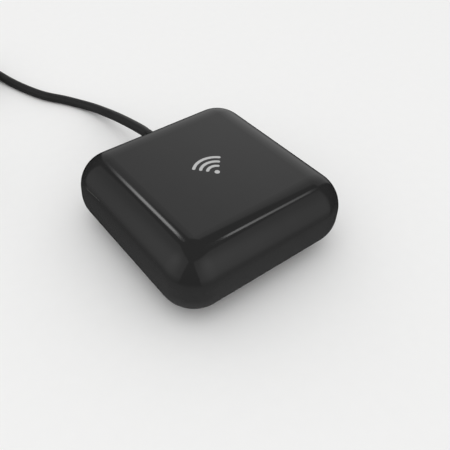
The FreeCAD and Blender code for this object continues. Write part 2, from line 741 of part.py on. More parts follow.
def coil_turn_at(angle):
    """Radius and height of the coil at an angle counted from its start, in radians."""
    reversal = COIL_QUARTERS_PER_LAYER * math.pi / 2
    from_reversal = angle - reversal
    radius = COIL_INNER_RADIUS + COIL_PITCH * abs(from_reversal) / (2 * math.pi)
    climb = min(max(from_reversal + math.pi / 2, 0.0), math.pi)
    height = coil_floor_z + COIL_LAYER_RISE * (1 - math.cos(climb)) / 2
    return radius, height


def coil_point(angle):
    """Point on the coil's middle line."""
    radius, height = coil_turn_at(angle)
    turn = math.radians(COIL_START_DEGREES) + angle
    return Vector(COIL_CENTRE_X + radius * math.cos(turn), COIL_CENTRE_Y + radius * math.sin(turn), height)


def coil_direction(angle):
    """Direction of travel on the coil."""
    radius, height = coil_turn_at(angle)
    reversal = COIL_QUARTERS_PER_LAYER * math.pi / 2
    from_reversal = angle - reversal
    inward = 0.0
    if abs(from_reversal) > 1e-6:
        inward = math.copysign(COIL_PITCH / (2 * math.pi), from_reversal)
    rise = 0.0
    if abs(from_reversal) < math.pi / 2:
        rise = COIL_LAYER_RISE / 2 * math.sin(from_reversal + math.pi / 2)
    turn = math.radians(COIL_START_DEGREES) + angle
    along_x = inward * math.cos(turn) - radius * math.sin(turn)
    along_y = inward * math.sin(turn) + radius * math.cos(turn)
    return Vector(along_x, along_y, rise).normalize()


def arc_between(start, direction, end):
    """Arc that leaves start along direction and passes through end."""
    chord = end - start
    half_turn = direction.getAngle(chord)
    normal = direction.cross(chord).normalize()
    inward = normal.cross(direction).normalize()
    radius = chord.Length / (2 * math.sin(half_turn))
    centre = start + inward * radius
    outward = ((start + end) * 0.5 - centre).normalize()
    return Part.Arc(start, centre + outward * radius, end).toShape()


def biarc(start, start_direction, end, end_direction):
    """Two arcs, tangent to each other, between two points with given directions."""
    chord = end - start
    both = start_direction + end_direction
    spread = 2 * (1 - start_direction.dot(end_direction))
    root = math.sqrt(chord.dot(both) ** 2 + spread * chord.dot(chord))
    reach = (root - chord.dot(both)) / spread
    first = start + start_direction * reach
    second = end - end_direction * reach
    joint = (first + second) * 0.5
    return [arc_between(start, start_direction, joint), arc_between(joint, second - first, end)]


def coil_end_angle():
    """Angle of the coil's far end, counted from its start."""
    return COIL_QUARTERS_PER_LAYER * math.pi


def coil_start_point():
    """Face where the lead meets the coil's first straight stretch."""
    return coil_point(0) - coil_direction(0) * (2 * CORD_RADIUS)


def coil_end_point():
    """Face where the tail meets the coil's last straight stretch."""
    return coil_point(coil_end_angle()) + coil_direction(coil_end_angle()) * (2 * CORD_RADIUS)


def coil_path():
    """The coil's turns: in on the lower layer, up a layer, and out again."""
    knots = [step * math.pi / 2 for step in range(2 * COIL_QUARTERS_PER_LAYER + 1)]
    edges = [Part.LineSegment(coil_start_point(), coil_point(0)).toShape()]
    for begin, finish in zip(knots, knots[1:]):
        edges += biarc(coil_point(begin), coil_direction(begin), coil_point(finish), coil_direction(finish))
    edges.append(Part.LineSegment(coil_point(knots[-1]), coil_end_point()).toShape())
    return Part.Wire(edges)


def least_gap_in_coil(path):
    """Least gap between the coil's turns, measured on points along its path."""
    points = path.discretize(Distance=1.0)
    skip = int(COIL_INNER_RADIUS * math.pi)
    least = 1e9
    for index, point in enumerate(points):
        for other in points[index + skip:]:
            least = min(least, point.distanceToPoint(other))
    return least - 2 * CORD_RADIUS


def cord_coil():
    """Put-away length of the cord, wound in two layers."""
    path = coil_path()
    coil = sweep(path, CORD_RADIUS, coil_start_point(), coil_direction(0))
    straightened = math.pi * CORD_RADIUS ** 2 * path.Length
    print("coil: %.1f mm long, volume over section x length %.5f" % (path.Length, coil.Volume / straightened))
    print("coil: least gap to itself %.3f mm" % least_gap_in_coil(path))
    return coil


def lead_points():
    """The lead's whole route, from the relief's tip to the coil."""
    exit_point = Vector(CORD_EXIT_X, half_width + RELIEF_LENGTH, parting_z)
    points = [exit_point, exit_point + Vector(0, LEAD_FIRST_RUN, 0)]
    points += [Vector(*place) for place in LEAD_ROUTE]
    points.append(coil_start_point() - coil_direction(0) * COIL_APPROACH)
    points.append(coil_start_point())
    return points


def tail_points():
    """The tail's route, from the coil's end down to the plug's relief."""
    points = [coil_end_point()]
    points.append(points[0] + coil_direction(coil_end_angle()) * TAIL_FIRST_RUN)
    drop = points[0].z - plug_axis_z
    for length, heading, share in TAIL_RUNS:
        turn = math.radians(heading)
        points.append(points[-1] + Vector(length * math.cos(turn), length * math.sin(turn), -drop * share))
    return points


def report_tube(name, points):
    """Prints a tube's length and the radii of its arcs."""
    path, radii = tube_path(points)
    words = " ".join("%.1f" % radius for radius in radii)
    print("%s: %.1f mm long, arc radii %s" % (name, path.Length, words))


def cord_lead():
    """Free stretch of the cord from the relief to the coil."""
    report_tube("lead", lead_points())
    return tube(lead_points(), CORD_RADIUS)


def cord_tail():
    """Free stretch of the cord from the coil to the plug."""
    report_tube("tail", tail_points())
    return tube(tail_points(), CORD_RADIUS)


def tie_turn_radii():
    """Radii of all turns that pass the tie."""
    first = math.radians(TIE_DEGREES - COIL_START_DEGREES)
    radii = []
    angle = first
    while angle < coil_end_angle():
        radii.append(coil_turn_at(angle)[0])
        angle += 2 * math.pi
    return radii


def cord_tie():
    """Flat strap closed round the coil's bundle of turns."""
    room = CORD_RADIUS + TIE_SIDE_CLEARANCE
    inner_low = min(tie_turn_radii()) - room
    inner_high = max(tie_turn_radii()) + room
    height = COIL_LAYER_RISE + 2 * CORD_RADIUS + 2 * TIE_CLEARANCE
    length = inner_high - inner_low
    middle = (inner_low + inner_high) / 2
    outer = block(length + 2 * TIE_THICKNESS, TIE_WIDTH, height + 2 * TIE_THICKNESS, middle, 0, 0)
    outer = outer.makeFillet(TIE_CORNER_RADIUS + TIE_THICKNESS, cross_edges(outer))
    inner = block(length, TIE_WIDTH, height, middle, 0, TIE_THICKNESS)
    inner = inner.makeFillet(TIE_CORNER_RADIUS, cross_edges(inner))
    strap = outer.cut(inner)
    strap.rotate(Vector(0, 0, 0), Vector(0, 0, 1), TIE_DEGREES)
    strap.translate(Vector(COIL_CENTRE_X, COIL_CENTRE_Y, 0))
    return strap


def cross_edges(solid):
    """Straight edges that run along Y."""
    return [edge for edge in solid.Edges if edge.BoundBox.YLength > 0.9 * solid.BoundBox.YLength]


def place_on_plug(shape):
    """Moves a shape drawn along +X, from the cord's end, to the plug's place."""
    points = tail_points()
    heading = points[-1] - points[-2]
    shape.rotate(Vector(0, 0, 0), Vector(0, 0, 1), math.degrees(math.atan2(heading.y, heading.x)))
    shape.translate(Vector(points[-1].x, points[-1].y, plug_axis_z))
    return shape


def plug_shell_start():
    """Rear end of the metal shell, inside the grip."""
    return PLUG_RELIEF_LENGTH + PLUG_GRIP_LENGTH - PLUG_SHELL_SEAT


def plug_shell_length():
    """Whole length of the metal shell."""
    return PLUG_SHELL_SEAT + PLUG_SHELL_REACH


def plug_bar(length, width, thickness, start, low):
    """Box along +X, centred across, from start, that stands on low."""
    return block(length, width, thickness, start + length / 2, 0, low)


def usb_plug_relief():
    """Tapered relief behind the plug's grip."""
    thin_end = CORD_RADIUS + PLUG_RELIEF_WALL
    cone = Part.makeCone(thin_end, PLUG_RELIEF_RADIUS, PLUG_RELIEF_LENGTH, Vector(0, 0, 0), Vector(1, 0, 0))
    return place_on_plug(cone)


def usb_plug_grip():
    """Moulded grip with rounded edges and a pocket for the metal shell."""
    low = -PLUG_GRIP_THICKNESS / 2
    grip = plug_bar(PLUG_GRIP_LENGTH, PLUG_GRIP_WIDTH, PLUG_GRIP_THICKNESS, PLUG_RELIEF_LENGTH, low)
    long_edges = [edge for edge in grip.Edges if edge.BoundBox.XLength > 0.9 * PLUG_GRIP_LENGTH]
    grip = grip.makeFillet(PLUG_GRIP_ROUNDING, long_edges)
    pocket_low = -PLUG_SHELL_THICKNESS / 2
    pocket = plug_bar(PLUG_SHELL_SEAT, PLUG_SHELL_WIDTH, PLUG_SHELL_THICKNESS, plug_shell_start(), pocket_low)
    return place_on_plug(grip.cut(pocket))


def usb_plug_shell():
    """Folded metal shell with its square latch windows."""
    low = -PLUG_SHELL_THICKNESS / 2
    shell = plug_bar(plug_shell_length(), PLUG_SHELL_WIDTH, PLUG_SHELL_THICKNESS, plug_shell_start(), low)
    inner_width = PLUG_SHELL_WIDTH - 2 * PLUG_SHELL_WALL
    inner_thickness = PLUG_SHELL_THICKNESS - 2 * PLUG_SHELL_WALL
    room_low = low + PLUG_SHELL_WALL
    room = plug_bar(plug_shell_length(), inner_width, inner_thickness, plug_shell_start(), room_low)
    window_x = plug_shell_start() + plug_shell_length() - PLUG_WINDOW_FROM_TIP
    removed = [room]
    for side in (-PLUG_WINDOW_OFFSET, PLUG_WINDOW_OFFSET):
        removed.append(block(PLUG_WINDOW, PLUG_WINDOW, PLUG_SHELL_THICKNESS, window_x, side, low))
    return place_on_plug(cut_all(shell, removed))


def tongue_low():
    """Underside of the tongue, on the shell's lower wall."""
    return -PLUG_SHELL_THICKNESS / 2 + PLUG_SHELL_WALL


def usb_plug_tongue():
    """Plastic tongue that carries the contacts."""
    length = plug_shell_length() - PLUG_TONGUE_SETBACK
    width = PLUG_SHELL_WIDTH - 2 * PLUG_SHELL_WALL
    return place_on_plug(plug_bar(length, width, PLUG_TONGUE_THICKNESS, plug_shell_start(), tongue_low()))


def usb_plug_contacts():
    """Four flat contacts on the tongue."""
    tip = plug_shell_start() + plug_shell_length() - PLUG_TONGUE_SETBACK
    start = tip - PLUG_CONTACT_LENGTH - PLUG_TONGUE_SETBACK
    low = tongue_low() + PLUG_TONGUE_THICKNESS
    contacts = []
    for step in (-1.5, -0.5, 0.5, 1.5):
        strip = plug_bar(PLUG_CONTACT_LENGTH, PLUG_CONTACT_WIDTH, PLUG_CONTACT_THICKNESS, start, low)
        strip.translate(Vector(0, step * PLUG_CONTACT_PITCH, 0))
        contacts.append(strip)
    return place_on_plug(Part.makeCompound(contacts))


def main_board():
    """Circuit board, clamped on the case's bosses, with its screw and lead holes."""
    size = 2 * board_half
    board = rounded_plate(size, size, BOARD_THICKNESS, BOARD_CORNER_RADIUS, 0, 0, board_bottom_z)
    holes = []
    for x, y in screw_places:
        holes.append(disc(SCREW_RADIUS + HEAD_CLEARANCE, BOARD_THICKNESS, x, y, board_bottom_z))
    lead_places = emitter_lead_places() + receiver_lead_places() + switch_lead_places()
    for x, y in lead_places:
        holes.append(disc(LEAD_HOLE_RADIUS, BOARD_THICKNESS, x, y, board_bottom_z))
    return cut_all(board, holes)


def wifi_module_board():
    """Radio module's own small board, soldered under the main board."""
    low = board_bottom_z - MODULE_THICKNESS
    return block(module_width, module_length, MODULE_THICKNESS, module_x, 0, low)


def wifi_shield_can():
    """Metal can over the module's chips."""
    top = board_bottom_z - MODULE_THICKNESS
    can_y = -(module_length - can_length) / 2 + LEAD_WIDTH
    can = block(can_width, can_length, CAN_HEIGHT, module_x, can_y, top - CAN_HEIGHT)
    return can.makeFillet(CAN_EDGE_ROUNDING, edges_at_height(can, top - CAN_HEIGHT))


def wifi_antenna_trace():
    """Folded antenna line on the module's free end."""
    low = board_bottom_z - MODULE_THICKNESS - ANTENNA_THICKNESS
    start_x = module_x - module_width / 2 + 2 * ANTENNA_LINE_WIDTH
    pitch = (module_width - 4 * ANTENNA_LINE_WIDTH) / (2 * ANTENNA_TEETH)
    far_y = module_length / 2 - ANTENNA_LINE_WIDTH
    near_y = far_y - ANTENNA_TOOTH
    middle_y = (near_y + far_y) / 2
    strips = []
    for step in range(2 * ANTENNA_TEETH):
        x = start_x + step * pitch
        strips.append(block(ANTENNA_LINE_WIDTH, ANTENNA_TOOTH, ANTENNA_THICKNESS, x, middle_y, low))
        if step + 1 < 2 * ANTENNA_TEETH:
            link_y = far_y - ANTENNA_LINE_WIDTH / 2 if step % 2 == 0 else near_y + ANTENNA_LINE_WIDTH / 2
            link = pitch + ANTENNA_LINE_WIDTH
            strips.append(block(link, ANTENNA_LINE_WIDTH, ANTENNA_THICKNESS, x + pitch / 2, link_y, low))
    return fuse_all(strips)


def side_x():
    """Distance of the power parts from the middle, near the board's side edges."""
    return board_half - SIDE_PART_EDGE_GAP


def capacitor_base():
    """Square plastic base under the storage capacitor."""
    return block(CAPACITOR_BASE, CAPACITOR_BASE, CAPACITOR_BASE_HEIGHT, side_x(), SIDE_PART_Y, board_top_z)


def storage_capacitor():
    """Aluminium can of the storage capacitor."""
    low = board_top_z + CAPACITOR_BASE_HEIGHT
    can = disc(CAPACITOR_RADIUS, CAPACITOR_HEIGHT, side_x(), SIDE_PART_Y, low)
    return can.makeFillet(CAN_EDGE_ROUNDING, edges_at_height(can, low + CAPACITOR_HEIGHT))


def power_inductor():
    """Shielded inductor of the supply."""
    size = INDUCTOR_SIZE
    return rounded_plate(size, size, INDUCTOR_HEIGHT, CAN_EDGE_ROUNDING, -side_x(), SIDE_PART_Y, board_top_z)


def voltage_regulator():
    """Regulator block with its heat tab and three legs."""
    middle_x = -side_x()
    body = block(REGULATOR_WIDTH, REGULATOR_LENGTH, REGULATOR_HEIGHT, middle_x, -SIDE_PART_Y, board_top_z)
    leg_length = REGULATOR_WIDTH / 2
    leg_x = middle_x + REGULATOR_WIDTH / 2 + leg_length / 2
    tab_x = middle_x - REGULATOR_WIDTH / 2 - leg_length / 2
    tab = block(leg_length, REGULATOR_LENGTH / 2, LEAD_WIDTH, tab_x, -SIDE_PART_Y, board_top_z)
    solids = [body, tab]
    for step in (-1, 0, 1):
        leg_y = -SIDE_PART_Y + step * REGULATOR_LENGTH / 3
        solids.append(block(leg_length, LEAD_WIDTH, LEAD_WIDTH / 2, leg_x, leg_y, board_top_z))
    return fuse_all(solids)


def quartz_crystal():
    """Crystal can beside the storage capacitor's row."""
    x = side_x()
    y = -SIDE_PART_Y
    return rounded_plate(CRYSTAL_WIDTH, CRYSTAL_LENGTH, CRYSTAL_HEIGHT, CAN_EDGE_ROUNDING, x, y, board_top_z)


def chip_row(count, width, length, height, x, y):
    """Row of equal chips along Y, spaced by the chip pitch."""
    chips = []
    for step in range(count):
        chips.append(block(width, length, height, x, y + (step - (count - 1) / 2) * CHIP_PITCH, board_top_z))
    return chips


def driver_transistors():
    """Three transistors that switch the emitters."""
    x = CHIP_PITCH - side_x()
    return Part.makeCompound(chip_row(3, TRANSISTOR_WIDTH, TRANSISTOR_LENGTH, TRANSISTOR_HEIGHT, x, 0))


def chip_resistors():
    """Two rows of small resistors, one each side of the board."""
    left = chip_row(3, CHIP_WIDTH, CHIP_LENGTH, RESISTOR_HEIGHT, -side_x() - CHIP_PITCH / 2, 0)
    right = chip_row(3, CHIP_WIDTH, CHIP_LENGTH, RESISTOR_HEIGHT, side_x(), 0)
    return Part.makeCompound(left + right)


def chip_capacitors():
    """Small capacitors beside the header and at the board's front edge."""
    header_side = CORD_EXIT_X + (HEADER_WIDTH + CHIP_WIDTH) / 2 + CHIP_SIDE_GAP
    header_middle = header_far_y() - HEADER_DEPTH / 2
    beside_header = chip_row(2, CHIP_WIDTH, CHIP_LENGTH, CHIP_CAPACITOR_HEIGHT, header_side, header_middle)
    front = chip_row(2, CHIP_WIDTH, CHIP_LENGTH, CHIP_CAPACITOR_HEIGHT, -RECEIVER_X, receiver_y())
    return Part.makeCompound(beside_header + front)


def underside_label():
    """Blank label on the flat underside."""
    low = base_z - LABEL_THICKNESS
    return rounded_plate(label_size, label_size, LABEL_THICKNESS, LABEL_CORNER_RADIUS, 0, 0, low)


def all_nodes():
    """Every piece of the hub under its node name."""
    nodes = {
        "top_cover": top_cover(),
        "bottom_case": bottom_case(),
        "case_screws": case_screws(),
        "main_board": main_board(),
        "wifi_module_board": wifi_module_board(),
        "wifi_shield_can": wifi_shield_can(),
        "wifi_antenna_trace": wifi_antenna_trace(),
        "ir_emitter_top": upward_emitter(),
        "ir_emitter_leads": emitter_leads(),
        "led_holder": led_holder(),
        "ir_receiver": ir_receiver(),
        "ir_receiver_leads": straight_leads(receiver_lead_places(), board_top_z + RECEIVER_STAND_OFF),
        "status_led": status_led(),
        "light_guide": light_guide(),
        "reset_button": reset_button(),
        "tact_switch_body": tact_switch_body(),
        "tact_switch_plunger": tact_switch_plunger(),
        "tact_switch_legs": straight_leads(switch_lead_places(), parting_z - SWITCH_FACE / 2),
        "power_header": power_header(),
        "power_header_pins": header_pins(),
        "power_plug_housing": power_plug_housing(),
        "red_wire": supply_wire(1),
        "black_wire": supply_wire(-1),
        "cord_jacket_end": cord_jacket_end(),
        "strain_relief": strain_relief(),
        "storage_capacitor": storage_capacitor(),
        "capacitor_base": capacitor_base(),
        "voltage_regulator": voltage_regulator(),
        "power_inductor": power_inductor(),
        "quartz_crystal": quartz_crystal(),
        "driver_transistors": driver_transistors(),
        "chip_resistors": chip_resistors(),
        "chip_capacitors": chip_capacitors(),
        "underside_label": underside_label(),
        "cord_lead": cord_lead(),
        "cord_coil": cord_coil(),
        "cord_tail": cord_tail(),
        "cord_tie": cord_tie(),
        "usb_plug_relief": usb_plug_relief(),
        "usb_plug_grip": usb_plug_grip(),
        "usb_plug_shell": usb_plug_shell(),
        "usb_plug_tongue": usb_plug_tongue(),
        "usb_plug_contacts": usb_plug_contacts(),
    }
    for number, (x, y) in enumerate(screw_places, 1):
        nodes["rubber_foot_%d" % number] = rubber_foot(x, y)
    for number, angle in enumerate(emitter_angles(), 1):
        nodes["ir_emitter_%d" % number] = outward_emitter(angle)
    return nodes


def main():
    """Writes one file per piece."""
    os.makedirs("parts", exist_ok=True)
    for name, shape in all_nodes().items():
        if not shape.isValid():
            print("not valid:", name)
        shape.exportStep("parts/%s.step" % name)


main()
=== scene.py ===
"""Infrared remote hub in a plain studio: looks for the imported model, in metres.

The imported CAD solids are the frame. Finishes are laid on the solids that are right as they
are. Pieces worked out here stand for the cord, its tie, both strain reliefs, the plug's grip
and the reset button, and a small sign is printed on the top face.
"""

import enum
import logging
import math
from dataclasses import dataclass

import bpy
import numpy as np
from mathutils import Matrix, Vector


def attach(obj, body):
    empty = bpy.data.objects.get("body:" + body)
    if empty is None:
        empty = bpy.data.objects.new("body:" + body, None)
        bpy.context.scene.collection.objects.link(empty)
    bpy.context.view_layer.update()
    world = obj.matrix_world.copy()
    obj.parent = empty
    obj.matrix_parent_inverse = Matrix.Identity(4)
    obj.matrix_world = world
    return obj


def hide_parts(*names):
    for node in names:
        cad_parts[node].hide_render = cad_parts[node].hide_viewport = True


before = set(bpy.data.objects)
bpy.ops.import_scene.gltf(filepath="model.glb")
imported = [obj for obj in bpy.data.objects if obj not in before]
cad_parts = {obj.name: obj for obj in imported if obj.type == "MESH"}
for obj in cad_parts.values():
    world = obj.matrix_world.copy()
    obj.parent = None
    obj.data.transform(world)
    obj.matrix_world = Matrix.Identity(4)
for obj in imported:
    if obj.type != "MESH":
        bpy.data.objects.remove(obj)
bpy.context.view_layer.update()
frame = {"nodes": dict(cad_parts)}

log = logging.getLogger("hub")

Pair = tuple[float, float]
Triple = tuple[float, float, float]
Socket = bpy.types.NodeSocket

HUB_BODY = "hub"
BUTTON_BODY = "reset_button"
PARTING_HEIGHT = 0.013535
COIL_CENTRE = (-0.0505, 0.1415)
FULL_TURN = 2.0 * math.pi
QUARTER_TURN = math.pi / 2.0


class Number:
    """A number socket of a node tree; arithmetic on it adds Math nodes."""

    def __init__(self, tree: "Tree", socket: Socket) -> None:
        """Keeps the tree that the socket is in, and the socket."""
        self.tree = tree
        self.socket = socket

    def __add__(self, other: "Number | float") -> "Number":
        """Sum."""
        return self.tree.math("ADD", self, other)

    def __radd__(self, other: float) -> "Number":
        """Sum with a plain number on the left."""
        return self.tree.math("ADD", other, self)

    def __sub__(self, other: "Number | float") -> "Number":
        """Difference."""
        return self.tree.math("SUBTRACT", self, other)

    def __rsub__(self, other: float) -> "Number":
        """Difference from a plain number."""
        return self.tree.math("SUBTRACT", other, self)

    def __mul__(self, other: "Number | float") -> "Number":
        """Product."""
        return self.tree.math("MULTIPLY", self, other)

    def __rmul__(self, other: float) -> "Number":
        """Product with a plain number on the left."""
        return self.tree.math("MULTIPLY", other, self)

    def __truediv__(self, other: "Number | float") -> "Number":
        """Quotient."""
        return self.tree.math("DIVIDE", self, other)

    def clamped(self) -> "Number":
        """The number kept between 0 and 1."""
        return self.tree.math("MINIMUM", self.tree.math("MAXIMUM", self, 0.0), 1.0)

    def smooth(self, low: float, high: float) -> "Number":
        """A soft step from 0 at low to 1 at high."""
        sockets = {"Value": self, "From Min": low, "From Max": high}
        return self.tree.number("ShaderNodeMapRange", {"interpolation_type": "SMOOTHSTEP"}, sockets)


class Tree:
    """Writes nodes and links into the node tree of one material or world."""

    def __init__(self, owner: bpy.types.Material | bpy.types.World) -> None:
        """Empties the owner's node tree, ready for new nodes.

        Args:
            owner: Material or world that the nodes are for.
        """
        owner.use_nodes = True
        self.nodes = owner.node_tree.nodes
        self.links = owner.node_tree.links
        self.nodes.clear()

    def add(self, kind: str, settings: dict | None = None,
            sockets: dict | None = None) -> bpy.types.Node:
        """Adds one node.

        Args:
            kind: The node's type name.
            settings: Its properties, which are set first.
            sockets: Values or links of its inputs, by name or index.

        Returns:
            The new node.
        """
        node = self.nodes.new(kind)
        for name, value in (settings or {}).items():
            setattr(node, name, value)
        for key, value in (sockets or {}).items():
            source = value.socket if isinstance(value, Number) else value
            if isinstance(source, Socket):
                self.links.new(source, node.inputs[key])
            else:
                node.inputs[key].default_value = source
        return node

    def number(self, kind: str, settings: dict, sockets: dict, output: int | str = 0) -> Number:
        """Adds a node and gives one of its outputs as a number."""
        return Number(self, self.add(kind, settings, sockets).outputs[output])

    def math(self, operation: str, *values: Number | float) -> Number:
        """Adds a Math node on one or two values."""
        return self.number("ShaderNodeMath", {"operation": operation}, dict(enumerate(values)))

    def along(self, place: Socket, direction: Triple) -> Number:
        """Length of a vector along a direction."""
        sockets = {0: place, 1: direction}
        return self.number("ShaderNodeVectorMath", {"operation": "DOT_PRODUCT"}, sockets, "Value")

    def noise(self, place: Socket, size: float, detail: float) -> Number:
        """Even noise around 0.5 with features of one size, in metres."""
        sockets = {"Vector": place, "Scale": 1.0 / size, "Detail": detail}
        return self.number("ShaderNodeTexNoise", {}, sockets, "Fac")

    def object_place(self) -> Socket:
        """Place on the piece in its own coordinates, which are the frame's metres."""
        return self.add("ShaderNodeTexCoord").outputs["Object"]

    def stretched(self, place: Socket, scale: Triple) -> Socket:
        """A place with its axes scaled, for a pattern that runs one way."""
        return self.add("ShaderNodeMapping", {}, {"Vector": place, "Scale": scale}).outputs[0]

    def blend(self, share: Number, low: tuple | Socket, high: tuple | Socket) -> Socket:
        """Mixes two colours by a number from 0 to 1."""
        node = self.add("ShaderNodeMix", {"data_type": "RGBA"}, {0: share, 6: low, 7: high})
        return node.outputs[2]

    def bump(self, height: Number, depth: float) -> Socket:
        """Normal of a relief of that depth in metres."""
        return self.add("ShaderNodeBump", {}, {"Height": height, "Distance": depth}).outputs[0]


def shade(color: Triple, factor: float) -> tuple[float, float, float, float]:
    """A colour made lighter or darker, with full alpha."""
    return (color[0] * factor, color[1] * factor, color[2] * factor, 1.0)


@dataclass(frozen=True)
class Finish:
    """What every finish has: its slot in the record, a colour, and how dark and light it gets.

    The tones are factors of the colour.
    """

    slot: str
    color: Triple
    tones: Pair = (0.9, 1.1)

    def material(self) -> bpy.types.Material:
        """Builds the finish as a node material.

        Returns:
            The material, named after the slot.
        """
        made = bpy.data.materials.new(self.slot)
        tree = Tree(made)
        surface = self.surface(tree)
        tree.add("ShaderNodeOutputMaterial", {}, {"Surface": surface.outputs[0]})
        return made

    def surface(self, tree: Tree) -> bpy.types.Node:
        """Writes the shader; each finish has its own."""
        raise NotImplementedError

    def toned(self, tree: Tree, share: Number, factor: float = 1.0) -> Socket:
        """The colour from its dark tone to its light one by a share, all times a factor."""
        low, high = (shade(self.color, tone * factor) for tone in self.tones)
        return tree.blend(share, low, high)


@dataclass(frozen=True)
class GlossShell(Finish):
    """Polished moulding: near-black, with the faint ripple and wiping haze of a gloss face."""

    tones: Pair = (0.92, 1.08)
    roughness: float = 0.07
    haze: float = 0.02
    haze_size: float = 0.011
    haze_run: Triple = (1.0, 0.35, 1.0)
    speck_size: float = 0.00035
    speck_edge: Pair = (0.70, 0.80)
    speck_haze: float = 0.05
    ripple_size: float = 0.0016
    ripple_depth: float = 0.0000006
    index: float = 1.5

    def surface(self, tree: Tree) -> bpy.types.Node:
        """Even dark colour, roughness that wanders a little, and a very shallow ripple.

        Args:
            tree: Node tree of the material.

        Returns:
            The surface shader.
        """
        place = tree.object_place()
        wipe = tree.noise(tree.stretched(place, self.haze_run), self.haze_size, detail=3.0)
        speck = tree.noise(place, self.speck_size, detail=1.0).smooth(*self.speck_edge)
        rough = self.roughness + (wipe - 0.5) * self.haze + speck * self.speck_haze
        ripple = tree.noise(place, self.ripple_size, detail=1.0)
        return tree.add("ShaderNodeBsdfPrincipled", {}, {
            "Base Color": self.toned(tree, wipe), "Roughness": rough, "IOR": self.index,
            "Normal": tree.bump(ripple, self.ripple_depth)})


@dataclass(frozen=True)
class Moulded(Finish):
    """Moulded plastic, rubber or coating with a fine grain.

    Patches of tone and gloss are a few grains across and share the tint with the grain.
    """

    tones: Pair = (0.82, 1.18)
    roughness: float = 0.5
    spread: float = 0.12
    grain: float = 0.0004
    depth: float = 0.000006
    patch_grains: float = 14.0
    patch_share: float = 0.6
    index: float = 1.46

    def surface(self, tree: Tree) -> bpy.types.Node:
        """Colour and roughness that vary in patches, and a grain in the normal.

        Args:
            tree: Node tree of the material.

        Returns:
            The surface shader.
        """
        place = tree.object_place()
        patch = tree.noise(place, self.grain * self.patch_grains, detail=3.0)
        fine = tree.noise(place, self.grain, detail=2.0)
        share = patch * self.patch_share + fine * (1.0 - self.patch_share)
        rough = self.roughness + (fine - 0.5) * self.spread + (patch - 0.5) * self.spread
        return tree.add("ShaderNodeBsdfPrincipled", {}, {
            "Base Color": self.tint(tree, place, share), "Roughness": rough.clamped(),
            "IOR": self.index, "Normal": tree.bump(fine, self.depth)})

    def tint(self, tree: Tree, place: Socket, share: Number) -> Socket:
        """The colour by its tones alone, wherever on the piece it is."""
        return self.toned(tree, share)


@dataclass(frozen=True)
class CordJacket(Moulded):
    """Satin jacket of the cord, its colour made a little lighter on the stretch that the hub shades:
    painted light against the hub's shade.
    """

    # Painted light: how much lighter the colour is made where the hub shades the cord.
    lighter: float = 1.4
    shaded_to: float = 0.072
    open_from: float = 0.089

    def tint(self, tree: Tree, place: Socket, share: Number) -> Socket:
        """The jacket's own colour away from the hub, and near it a lighter colour that is painted
        light against the hub's shade.

        Args:
            tree: Node tree of the material.
            place: Place on the cord.
            share: Share of the light tone.

        Returns:
            The colour.
        """
        # Painted light: the jacket's tones lifted where the hub's shade falls, fading out along Y.
        painted_light_tone = self.toned(tree, share, self.lighter)
        away = tree.along(place, (0.0, 1.0, 0.0)).smooth(self.shaded_to, self.open_from)
        return tree.blend(away, painted_light_tone, self.toned(tree, share))


class Axis(enum.Enum):
    """Direction in which a metal was drawn or brushed, as scales of the three axes."""

    ALONG_Y = (1.0, 0.08, 1.0)
    ALONG_Z = (1.0, 1.0, 0.08)


@dataclass(frozen=True)
class Metal(Finish):
    """Bare or plated metal with fine drawing lines."""

    tones: Pair = (0.86, 1.05)
    roughness: float = 0.28
    lines: Axis = Axis.ALONG_Y
    line_size: float = 0.00012
    line_spread: float = 0.16
    patch_size: float = 0.002
    patch_spread: float = 0.12
    depth: float = 0.0000015

    def surface(self, tree: Tree) -> bpy.types.Node:
        """Metal whose roughness and normal follow lines along one axis, with dull patches.

        Args:
            tree: Node tree of the material.

        Returns:
            The surface shader.
        """
        place = tree.object_place()
        drawn = tree.noise(tree.stretched(place, self.lines.value), self.line_size, detail=2.0)
        dull = tree.noise(place, self.patch_size, detail=3.0)
        uneven = (drawn - 0.5) * self.line_spread + (dull - 0.5) * self.patch_spread
        return tree.add("ShaderNodeBsdfPrincipled", {}, {
            "Base Color": self.toned(tree, dull), "Metallic": 1.0,
            "Roughness": (self.roughness + uneven).clamped(),
            "Normal": tree.bump(drawn, self.depth)})


@dataclass(frozen=True)
class Resin(Finish):
    """Cast or drawn clear plastic, tinted."""

    clearness: float = 0.9
    roughness: float = 0.06
    spread: float = 0.05
    flow_size: float = 0.0012
    flow_run: Triple = (1.0, 1.0, 0.3)
    depth: float = 0.000002
    index: float = 1.53

    def surface(self, tree: Tree) -> bpy.types.Node:
        """Tinted clear body with faint flow marks in its surface.

        Args:
            tree: Node tree of the material.

        Returns:
            The surface shader.
        """
        place = tree.object_place()
        flow = tree.noise(tree.stretched(place, self.flow_run), self.flow_size, detail=2.0)
        return tree.add("ShaderNodeBsdfPrincipled", {}, {
            "Base Color": self.toned(tree, flow), "Transmission Weight": self.clearness,
            "Roughness": self.roughness + (flow - 0.5) * self.spread, "IOR": self.index,
            "Normal": tree.bump(flow, self.depth)})


